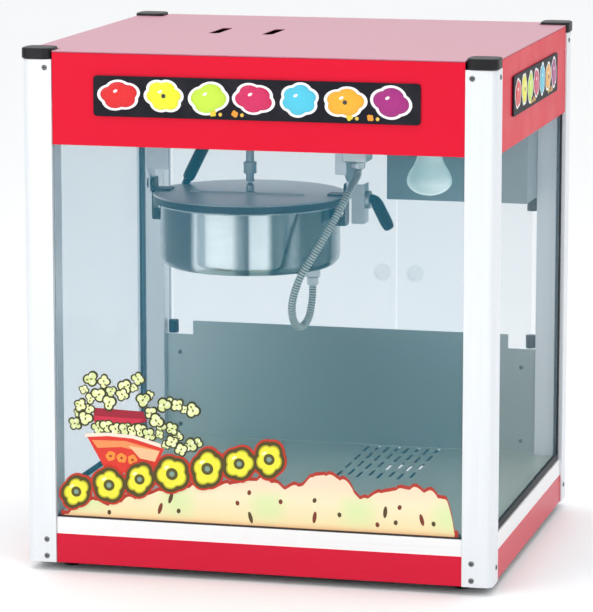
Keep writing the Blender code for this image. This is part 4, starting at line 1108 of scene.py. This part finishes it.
def make_lamp():
    frosted = Finish("lamp_glass", Coat_Weight=0.5, Coat_Roughness=0.06)
    # Painted glow: the bulb is not lit, yet a faint cyan emission brightens its glass.
    frosted.set(Emission_Color=(0.55, 0.95, 0.90), Emission_Strength=0.3)
    height = frosted.along("Z")
    silver = height.sharpened(0.434, 0.440)
    cloud = frosted.noise(40.0, 4.0)
    frosted.set(Base_Color=frosted.mixed(silver, (0.98, 1.0, 1.0), (0.88, 0.99, 0.98)))
    frosted.set(Metallic=silver * 0.05, Roughness=cloud * 0.1 + 0.24)
    bottom, radius, neck, top = 0.414, 0.028, 0.015, 0.4697
    widest = bottom + 0.018
    profile = [(0.0, bottom)]
    for a in np.linspace(0.12, math.pi / 2, 12):
        profile.append((radius * math.sin(a), widest - 0.018 * math.cos(a)))
    for share, rise in ((0.975, 0.005), (0.87, 0.012), (0.70, 0.0195)):
        profile.append((radius * share, widest + rise))
    profile += [(neck * 1.12, widest + 0.0255), (neck, widest + 0.031), (neck, top), (0.0, top)]
    bulb = lathe("lamp_globe", profile, frosted, (0.130, 0.100), 64, closed=False, angle=50)
    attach(bulb, "cabinet")
    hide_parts("lamp_bulb")
    refined("lamp_socket", moulded("socket_ceramic", (0.72, 0.70, 0.64), 0.35, 200.0), 0.001, 3)


# ---------------------------------------------------------------- screws
def screw_tree(steel, dark):
    """Geometry nodes that set a cross-head screw on every point, facing along its `facing` vector."""
    tree = bpy.data.node_groups.new("cross_head_screws", "GeometryNodeTree")
    tree.interface.new_socket("Geometry", in_out="INPUT", socket_type="NodeSocketGeometry")
    radius = tree.interface.new_socket("Head radius", in_out="INPUT", socket_type="NodeSocketFloat")
    height = tree.interface.new_socket("Head height", in_out="INPUT", socket_type="NodeSocketFloat")
    tree.interface.new_socket("Geometry", in_out="OUTPUT", socket_type="NodeSocketGeometry")

    def node(kind, settings=None, values=None, links=None):
        made = tree.nodes.new(kind)
        for name, value in (settings or {}).items():
            setattr(made, name, value)
        for name, value in (values or {}).items():
            made.inputs[name].default_value = value
        for name, socket in (links or {}).items():
            tree.links.new(socket, made.inputs[name])
        return made

    start = node("NodeGroupInput").outputs
    half = node("ShaderNodeMath", {"operation": "MULTIPLY"}, {1: 0.72}, {0: start["Head radius"]}).outputs[0]
    head = node(
        "GeometryNodeMeshCone", None, {"Vertices": 20},
        {"Radius Top": half, "Radius Bottom": start["Head radius"], "Depth": start["Head height"]},
    )
    head = node("GeometryNodeSetMaterial", None, {"Material": steel}, {"Geometry": head.outputs["Mesh"]})
    long = start["Head radius"]
    thin = node("ShaderNodeMath", {"operation": "MULTIPLY"}, {1: 0.2}, {0: start["Head radius"]}).outputs[0]
    lift = node("ShaderNodeMath", {"operation": "ADD"}, {1: 0.00001}, {0: start["Head height"]}).outputs[0]
    pieces = [head.outputs[0]]
    # Painted shade: the cross slot is two thin near-black bars laid on the head, standing in for the shade
    # inside the recess.
    for first, second in ((long, thin), (thin, long)):
        size = node("ShaderNodeCombineXYZ", None, {2: 0.0002}, {0: first, 1: second}).outputs[0]
        bar = node("GeometryNodeMeshCube", None, None, {"Size": size}).outputs["Mesh"]
        shift = node("ShaderNodeCombineXYZ", None, None, {2: lift}).outputs[0]
        moved = node("GeometryNodeTransform", None, None, {"Geometry": bar, "Translation": shift}).outputs[0]
        slot_shade = node("GeometryNodeSetMaterial", None, {"Material": dark}, {"Geometry": moved})
        pieces.append(slot_shade.outputs[0])
    joined = node("GeometryNodeJoinGeometry")
    for piece in pieces:
        tree.links.new(piece, joined.inputs[0])
    facing = node("GeometryNodeInputNamedAttribute", {"data_type": "FLOAT_VECTOR"}, {"Name": "facing"})
    turn = node("FunctionNodeAlignRotationToVector", {"axis": "Z"}, None, {"Vector": facing.outputs[0]})
    placed = node(
        "GeometryNodeInstanceOnPoints", None, None,
        {"Points": start["Geometry"], "Instance": joined.outputs[0], "Rotation": turn.outputs[0]},
    )
    real = node("GeometryNodeRealizeInstances", None, None, {"Geometry": placed.outputs[0]})
    end = node("NodeGroupOutput")
    tree.links.new(real.outputs[0], end.inputs[0])
    return tree, radius.identifier, height.identifier


def make_screws():
    values = looks()
    steel = drawn_metal("screw_steel", (0.20, 0.21, 0.22), 0.35, (300.0, 300.0, 300.0))
    # Painted shade: near-black finish for the cross slots, standing in for the shade inside the recesses.
    dark = moulded("screw_recess_shade", (0.008, 0.008, 0.008), 0.7)
    tree, radius_input, height_input = screw_tree(steel.material, dark.material)
    front, left, right, rear = (0, -1, 0), (-1, 0, 0), (1, 0, 0), (0, 1, 0)
    on_frame = []
    for sign in (-1, 1):
        for z in (0.018, 0.038):
            on_frame.append(((sign * 0.2555, -0.2500, z), front))
            on_frame.append(((sign * 0.2555, 0.2500, z), rear))
        on_frame.append(((sign * 0.2520, -0.2500, 0.5975), front))
        on_frame.append(((sign * 0.2520, 0.2500, 0.5975), rear))
        for y in (-0.226, 0.226):
            facing = right if sign > 0 else left
            on_frame.append(((sign * 0.2800, y, 0.030), facing))
            on_frame.append(((sign * 0.2800, y, 0.5975), facing))
    small = [((x, 0.2207, z), front) for x in (-0.225, 0.225) for z in (0.085, 0.180)]
    for name, places, scale in (("frame_screws", on_frame, 1.0), ("apron_screws", small, 0.8)):
        mesh = bpy.data.meshes.new(name)
        mesh.from_pydata([p for p, _ in places], [], [])
        facing = mesh.attributes.new("facing", "FLOAT_VECTOR", "POINT")
        facing.data.foreach_set("vector", np.array([f for _, f in places], np.float32).reshape(-1))
        obj = add_object(name, mesh, steel)
        modifier = obj.modifiers.new("screws", "NODES")
        modifier.node_group = tree
        modifier[radius_input] = values.screw_radius * scale
        modifier[height_input] = 0.0010 * scale
        settled(obj)
        smoothed(obj.data, 30)
        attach(obj, "cabinet")


# ---------------------------------------------------------------- operators and panel
class POPCORN_OT_stage(bpy.types.Operator):
    """Camera, floor, sky and lights"""

    bl_idname = "popcorn.stage"
    bl_label = "Stage"

    def execute(self, context):
        make_stage()
        return {"FINISHED"}


class POPCORN_OT_lead(bpy.types.Operator):
    """Ribbed armoured lead from the hanger to the kettle"""

    bl_idname = "popcorn.lead"
    bl_label = "Armoured lead"

    def execute(self, context):
        make_lead()
        return {"FINISHED"}


class POPCORN_OT_posts(bpy.types.Operator):
    """Corner posts with their caps and feet"""

    bl_idname = "popcorn.posts"
    bl_label = "Posts, caps and feet"

    def execute(self, context):
        make_posts()
        return {"FINISHED"}


class POPCORN_OT_panels(bpy.types.Operator):
    """Painted header, base and roof"""

    bl_idname = "popcorn.panels"
    bl_label = "Painted panels"

    def execute(self, context):
        make_panels()
        return {"FINISHED"}


class POPCORN_OT_glass(bpy.types.Operator):
    """Clear panes and their gaskets"""

    bl_idname = "popcorn.glass"
    bl_label = "Glass and gaskets"

    def execute(self, context):
        make_glass()
        return {"FINISHED"}


class POPCORN_OT_floor(bpy.types.Operator):
    """Cabinet floor, apron and hidden plates"""

    bl_idname = "popcorn.floor"
    bl_label = "Floor and apron"

    def execute(self, context):
        make_floor()
        return {"FINISHED"}


class POPCORN_OT_front_print(bpy.types.Operator):
    """Printed heap, tub and blossoms on the front glass"""

    bl_idname = "popcorn.front_print"
    bl_label = "Front print"

    def execute(self, context):
        make_front_print()
        return {"FINISHED"}


class POPCORN_OT_signs(bpy.types.Operator):
    """Dark panels with coloured blossoms on the header"""

    bl_idname = "popcorn.signs"
    bl_label = "Signs"

    def execute(self, context):
        make_signs()
        return {"FINISHED"}


class POPCORN_OT_kettle(bpy.types.Operator):
    """Kettle, pot, brackets, grips and stirrer"""

    bl_idname = "popcorn.kettle"
    bl_label = "Kettle"

    def execute(self, context):
        make_kettle()
        return {"FINISHED"}


class POPCORN_OT_lids(bpy.types.Operator):
    """Two half lids and the crossbar between them"""

    bl_idname = "popcorn.lids"
    bl_label = "Lids"

    def execute(self, context):
        make_lids()
        return {"FINISHED"}


class POPCORN_OT_drive(bpy.types.Operator):
    """Hangers, drive rod, motor and lead connector"""

    bl_idname = "popcorn.drive"
    bl_label = "Hangers and drive"

    def execute(self, context):
        make_drive()
        return {"FINISHED"}


class POPCORN_OT_rear(bpy.types.Operator):
    """Rear doors, hinges, knobs and crumb drawer"""

    bl_idname = "popcorn.rear"
    bl_label = "Doors and drawer"

    def execute(self, context):
        make_rear()
        return {"FINISHED"}


class POPCORN_OT_controls(bpy.types.Operator):
    """Control box, switches and power inlet"""

    bl_idname = "popcorn.controls"
    bl_label = "Controls"

    def execute(self, context):
        make_controls()
        return {"FINISHED"}


class POPCORN_OT_lamp(bpy.types.Operator):
    """Heat lamp and its socket"""

    bl_idname = "popcorn.lamp"
    bl_label = "Heat lamp"

    def execute(self, context):
        make_lamp()
        return {"FINISHED"}


class POPCORN_OT_screws(bpy.types.Operator):
    """Screw heads on the posts and the apron"""

    bl_idname = "popcorn.screws"
    bl_label = "Screws"

    def execute(self, context):
        make_screws()
        return {"FINISHED"}


OPERATORS = (
    POPCORN_OT_stage, POPCORN_OT_lead, POPCORN_OT_posts, POPCORN_OT_panels, POPCORN_OT_glass,
    POPCORN_OT_floor, POPCORN_OT_front_print, POPCORN_OT_signs, POPCORN_OT_kettle, POPCORN_OT_lids,
    POPCORN_OT_drive, POPCORN_OT_rear, POPCORN_OT_controls, POPCORN_OT_lamp, POPCORN_OT_screws,
)


class POPCORN_PT_panel(bpy.types.Panel):
    """Lists the machine's pieces"""

    bl_label = "Popcorn machine"
    bl_idname = "POPCORN_PT_panel"
    bl_space_type = "VIEW_3D"
    bl_region_type = "UI"
    bl_category = "Popcorn"

    def draw(self, context):
        values = context.scene.popcorn_looks
        for name in PopcornLooks.__annotations__:
            self.layout.prop(values, name)
        for operator in OPERATORS:
            self.layout.operator(operator.bl_idname)


def register():
    for item in (PopcornLooks, *OPERATORS, POPCORN_PT_panel):
        bpy.utils.register_class(item)
    bpy.types.Scene.popcorn_looks = bpy.props.PointerProperty(type=PopcornLooks)


def unregister():
    del bpy.types.Scene.popcorn_looks
    for item in (POPCORN_PT_panel, *reversed(OPERATORS), PopcornLooks):
        bpy.utils.unregister_class(item)


def main():
    register()
    for operator in OPERATORS:
        group, name = operator.bl_idname.split(".")
        getattr(getattr(bpy.ops, group), name)()


if __name__ == "__main__":
    main()
